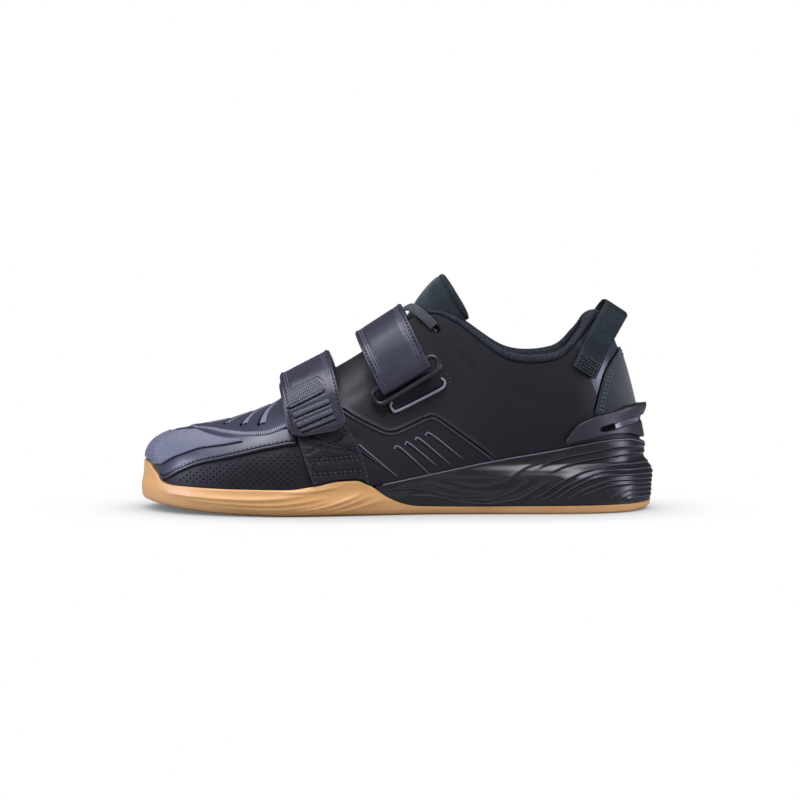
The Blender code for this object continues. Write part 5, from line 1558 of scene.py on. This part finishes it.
def collar_roll():
    """Padded roll round the ankle opening, thinning out at its front ends."""
    form = Form()
    cols = stations(1.1, ROLL_FROM)
    for side in (OUTER, INNER):
        top, o = skin(cols, side, 1.0), normal(cols, side, 1.0)
        k = unit(top - skin(cols, side, 0.94))
        size = 0.5 + 0.5 * ease(10.0, 12.0, cols)
        reach = np.linalg.norm(top - skin(cols, side, 0.9), axis=1) / 0.1
        rows = []
        for a, b in ROLL:
            far = a * size if a > -2.3 else -2.4 + (a + 2.4) * size
            if b < 0.0:
                rows.append(off(cols, side, 1.0 + b * size / reach, far))
            else:
                rows.append(top + o * np.reshape(far, (-1, 1)) * np.ones((len(cols), 1))
                            + k * np.reshape(0.5 if b == 0.5 else b * size + 0.2 * (1 - size), (-1, 1)))
        r = np.stack(rows, axis=1)
        wrapped = np.concatenate([r[:, -1:], r, r[:, :2]], axis=1)
        at = np.linspace(0, len(ROLL), 5 * len(ROLL) + 1)[:-1]
        fine = flow(np.moveaxis(wrapped, 1, 0).reshape(wrapped.shape[1], -1), at)
        fine = np.moveaxis(fine.reshape(-1, len(cols), 3), 0, 1)
        form.grid(fine, ring_uv(fine), ring=True)
        form.fan(fine[0])
    settle(form.make("collar_roll", LINING), "lining_mesh", "collar_lining")


# Tongue: its ridge in x and z, rows under the upper as station and ridge x, rows of the free
# tip as ridge x, half width and the edge's x and z, and its thickness row by row. Rows before
# TONGUE_CLOSED lie under the closed vamp.
RIDGE = [(-66, 60.2), (-57, 65.0), (-48, 70.6), (-34, 79.0), (-21, 86.4), (-8, 96.0), (2, 105.0),
         (6, 110.0), (10.3, 117.2), (16, 124.9), (21.7, 131.0), (26, 133.3)]
TONGUE_ROWS = [(5.6, -62), (6.5, -53), (7.0, -46), (7.5, -35), (8.0, -23), (8.5, -11), (9.0, -1),
               (9.5, 6.5), (9.9, 12.0)]
TONGUE_TIP = [(18.0, 11.6, 28.5, 103.0), (22.5, 11.9, 35.5, 105.5), (26.0, 12.3, 41.5, 109.0)]
TONGUE_CLOSED = 6.3
TONGUE_THICK = [2.4, 2.8, 3.0, 3.2, 3.4, 3.6, 3.8, 4.0, 4.0, 4.2, 4.2, 3.4]


def tongue_row(s, xc):
    """Points across the tongue under the upper at a station, from outer to inner side."""
    depth = WALL + 0.65 + 2.7 * float(ease(9.0, 9.9, s))
    shares = (0.62, 0.74, 0.86, 0.95) if s < TONGUE_CLOSED else (0.72, 0.82, 0.91, 0.985)
    left, right = ([off(s, side, v, -depth) for v in shares] for side in (OUTER, INNER))
    c = np.array((xc, 0.0, float(table(RIDGE, xc))))
    if s < TONGUE_CLOSED:
        c = off(s, OUTER, 1.0, -depth) * (1, 0, 1)
    right = right[::-1]
    bridge = flow(np.array([left[-2], left[-1], c, right[0], right[1]]), [0.55, 1.45])
    return np.array([*left, bridge[0], c, bridge[1], *right])


def tongue_rows():
    rows = [tongue_row(s, x) for s, x in TONGUE_ROWS]
    for xc, half_width, x_edge, z_edge in TONGUE_TIP:
        zc = float(table(RIDGE, xc))
        t = np.array([-1.0, -0.93, -0.8, -0.62, -0.34, 0.0, 0.34, 0.62, 0.8, 0.93, 1.0])
        bend = np.abs(t) ** 2.3
        rows.append(point(xc + (x_edge - xc) * bend, half_width * (1 - (1 - np.abs(t)) ** 1.8) * np.sign(t),
                          zc + (z_edge - zc) * bend))
    return np.array(rows)


def refine(p, rows, cols):
    """Catmull-Rom through a grid of points, rows by cols pieces between each pair."""
    for count in (rows, cols):
        ends = np.concatenate([2 * p[:1] - p[1:2], p, 2 * p[-1:] - p[-2:-1]])
        at = np.linspace(0, len(p) - 1.0, (len(p) - 1) * count + 1)
        q = flow(ends.reshape(len(ends), -1), at)
        p = np.swapaxes(q.reshape(len(at), *p.shape[1:]), 0, 1)
    return p


def tongue():
    base = refine(tongue_rows(), 8, 6)
    thick = np.interp(np.linspace(0, 11, len(base)), range(12), TONGUE_THICK)[:, None]
    n = unit(np.cross(np.gradient(base, axis=0), np.gradient(base, axis=1)))
    u = np.abs(np.linspace(-1, 1, base.shape[1]))[None, :]
    end = np.clip((np.arange(len(base))[::-1, None]) / 6.0, 0, 1)
    round_off = np.sqrt(np.clip(1 - u ** 12, 0, 1)) * np.sqrt(np.clip(1 - (1 - end) ** 2, 0.0, 1))
    mid = base - n * thick[..., None] / 2
    form = Form()
    faces = [mid + n * (thick / 2 * np.maximum(round_off, 0.02) * d)[..., None] for d in (1, -1)]
    for k, q in enumerate(faces):
        form.grid(q, point_uv(base), slot=k)
    a, b = faces
    form.seam(a[0], b[0])
    form.seam(a[-1], b[-1])
    form.seam(a[:, 0], b[:, 0])
    form.seam(a[:, -1], b[:, -1])
    settle(form.make("tongue_padded", NUBUCK, LINING), "nubuck", "tongue")
    line = even(mid[-2], 0.8)
    run = unit(np.gradient(line, axis=0))
    a = unit(np.cross(run, (0.0, 0.0, 1.0)) + 1e-6)
    b = np.cross(run, a)
    turn = circle(12)
    radius = 2.3 * np.sqrt(np.clip(1 - np.linspace(-1, 1, len(line)) ** 8, 0.02, 1))[:, None, None]
    binding = Form()
    binding.grid(line[:, None] + radius * (a[:, None] * np.cos(turn)[None, :, None]
                                           + b[:, None] * np.sin(turn)[None, :, None]), ring=True)
    settle(binding.make("tongue_binding", LINING), "nubuck")


# Lace: the crossing at the top eyelet as x, y, z and slope; two bars as station and slope
LACE_WIDTH = 5.2
LACE_THICK = 1.0
LACE_TOP = [(21.4, -20.6, 105.0, 60), (17.4, -18.5, 109.0, 56), (13.0, -15.2, 112.6, 50),
            (8.5, -9.5, 115.2, 44), (4.4, -4.6, 114.2, 36), (1.4, -1.0, 112.2, 33)]
LACE_BARS = [(7.2, 31), (8.4, 38)]


def lace(name, rows, node):
    piece = band(name, [(*row, LACE_WIDTH) for row in rows], LACE_THICK, LACE, step=0.5, across=10)
    settle(piece, "lace", node)


def laces():
    slot = Form()
    # The slot's opening is a strip of painted shade, with a piping edge
    ribbon(slot, on_skin([(18.6, 108.2), (24.6, 102.0)], OUTER, 0.2), 3.4, 0.12, end=1.2)
    ribbon(slot, on_skin([(18.2, 106.6), (23.4, 101.2)], OUTER, 0.1), 0.9, 0.5, end=1.0, slot=1)
    settle(slot.make("top_eyelet_slot", PAINTED_SHADE, PIPING), "upper_leather")
    lace("lace_crossing", LACE_TOP, "lace_top")
    for number, (s, slope) in enumerate(LACE_BARS, 1):
        pair = {side: [off(s, side, v, 1.2) for v in (0.93, 1.0)] for side in (OUTER, INNER)}
        a, b = pair[OUTER][1], pair[INNER][1]
        mid = (a + b) / 2
        mid[2] = float(table(RIDGE, mid[0])) + 1.6
        rows = [pair[OUTER][0], a, mid, b, pair[INNER][0]]
        lace("lace_bar_%d_woven" % number, [(*p, slope) for p in rows], "lace_bar_%d" % number)


# Stage: pale floor, soft studio light, long lens at the photograph's angle
VIEW_POINT = Vector((2.3, 0.0, 61.8))
VIEW_FAR = 1800.0
VIEW_UP = 4.2
PIXEL = 0.5714
FRAME_WIDE = 800
# Soft boxes: place and aim in metres, size, power in watts, colour
SOFTBOXES = [
    ("left_side", (-1.2, -0.35, 0.5), (-0.05, 0.0, 0.05), (0.6, 0.9), 18.0, "dcdfff"),
    ("right_side", (1.15, -0.35, 0.35), (0.08, 0.0, 0.05), (0.4, 0.9), 14.0, "e4e4ff"),
    ("overhead", (-0.1, -0.2, 1.15), (0.0, 0.0, 0.06), (1.2, 0.5), 15.0, "ececff"),
    ("front_fill", (0.15, -1.5, 0.5), (0.0, 0.0, 0.06), (1.4, 0.3), 2.2, "ffffff"),
]
SUN_POWER = 1.5
SUN_SPREAD = 40.0
SUN_LEAN = (14.0, -6.0)
WORLD_LIGHT = 0.12
SHADOW_REACH = 0.07


def camera():
    data = bpy.data.cameras.new("studio_camera")
    data.sensor_width = 36.0
    data.lens = data.sensor_width * VIEW_FAR / (PIXEL * FRAME_WIDE)
    data.clip_start, data.clip_end = 0.05, 50.0
    cam = bpy.data.objects.new("studio_camera", data)
    a = math.radians(VIEW_UP)
    back = Vector((0.0, -math.cos(a), math.sin(a)))
    cam.location = (VIEW_POINT + back * VIEW_FAR) * MM
    cam.rotation_mode = "QUATERNION"
    cam.rotation_quaternion = (-back).to_track_quat("-Z", "Y")
    bpy.context.scene.collection.objects.link(cam)
    bpy.context.scene.camera = cam


def softbox(name, place, aim, size, power, colour):
    data = bpy.data.lights.new(name, "AREA")
    data.shape = "RECTANGLE"
    data.size, data.size_y = size
    data.energy = power
    data.color = paint(colour)[:3]
    light = bpy.data.objects.new(name, data)
    light.location = place
    light.rotation_mode = "QUATERNION"
    light.rotation_quaternion = (Vector(aim) - Vector(place)).to_track_quat("-Z", "Y")
    light.visible_camera = False
    bpy.context.scene.collection.objects.link(light)


def floor():
    """Pale floor: the lens sees it white with a soft contact shadow, the shoe sees it grey."""
    form = Form()
    side = np.linspace(-3000.0, 3000.0, 7)
    x, y = np.meshgrid(side, side, indexing="ij")
    form.grid(point(x, y, x * 0.0))
    sheet = Finish("matt_white_floor", "96969a", 0.9)
    open_sky = sheet.add("AmbientOcclusion", {"Distance": SHADOW_REACH}, samples=12)
    shade = sheet.add("MapRange", {"Value": open_sky.outputs["AO"], 1: 0.0, 2: 0.93, 3: 0.12, 4: 1.0})
    glow = sheet.add("Emission", {"Strength": shade.outputs[0]})
    seen = sheet.add("MixShader", {0: sheet.add("LightPath").outputs["Is Camera Ray"],
                                   1: sheet.shader.outputs[0], 2: glow.outputs[0]})
    sheet.plug(sheet.tree.nodes["Material Output"].inputs[0], seen.outputs[0])
    form.make("studio_floor", sheet.material)


def sky():
    """White to the lens, and a weak white light on the shoe."""
    world = bpy.data.worlds.new("studio")
    bpy.context.scene.world = world
    world.use_nodes = True
    tree = world.node_tree
    back = tree.nodes["Background"]
    seen = tree.nodes.new("ShaderNodeBackground")
    for node, strength in ((back, WORLD_LIGHT), (seen, 1.0)):
        node.inputs["Strength"].default_value = strength
        node.inputs["Color"].default_value = paint("ffffff")
    path = tree.nodes.new("ShaderNodeLightPath")
    mix = tree.nodes.new("ShaderNodeMixShader")
    tree.links.new(path.outputs["Is Camera Ray"], mix.inputs[0])
    tree.links.new(back.outputs[0], mix.inputs[1])
    tree.links.new(seen.outputs[0], mix.inputs[2])
    tree.links.new(mix.outputs[0], tree.nodes["World Output"].inputs[0])
    bpy.context.scene.view_settings.view_transform = "Standard"


def lights():
    data = bpy.data.lights.new("overhead_sun", "SUN")
    data.energy = SUN_POWER
    data.angle = math.radians(SUN_SPREAD)
    sun = bpy.data.objects.new("overhead_sun", data)
    sun.rotation_euler = (math.radians(SUN_LEAN[0]), math.radians(SUN_LEAN[1]), 0.0)
    bpy.context.scene.collection.objects.link(sun)
    for row in SOFTBOXES:
        softbox(*row)


for step in (camera, outsole, midsole, insole, upper, mudguard, toe_cap, heel_counter, heel_clip, front_strap,
             front_strap_base, top_strap, rings, ring_tabs, ring_surround, slash_inlays, perforations,
             quarter_lines, heel_stitching, pull_loop, collar_roll, tongue, laces, floor, sky, lights):
    step()
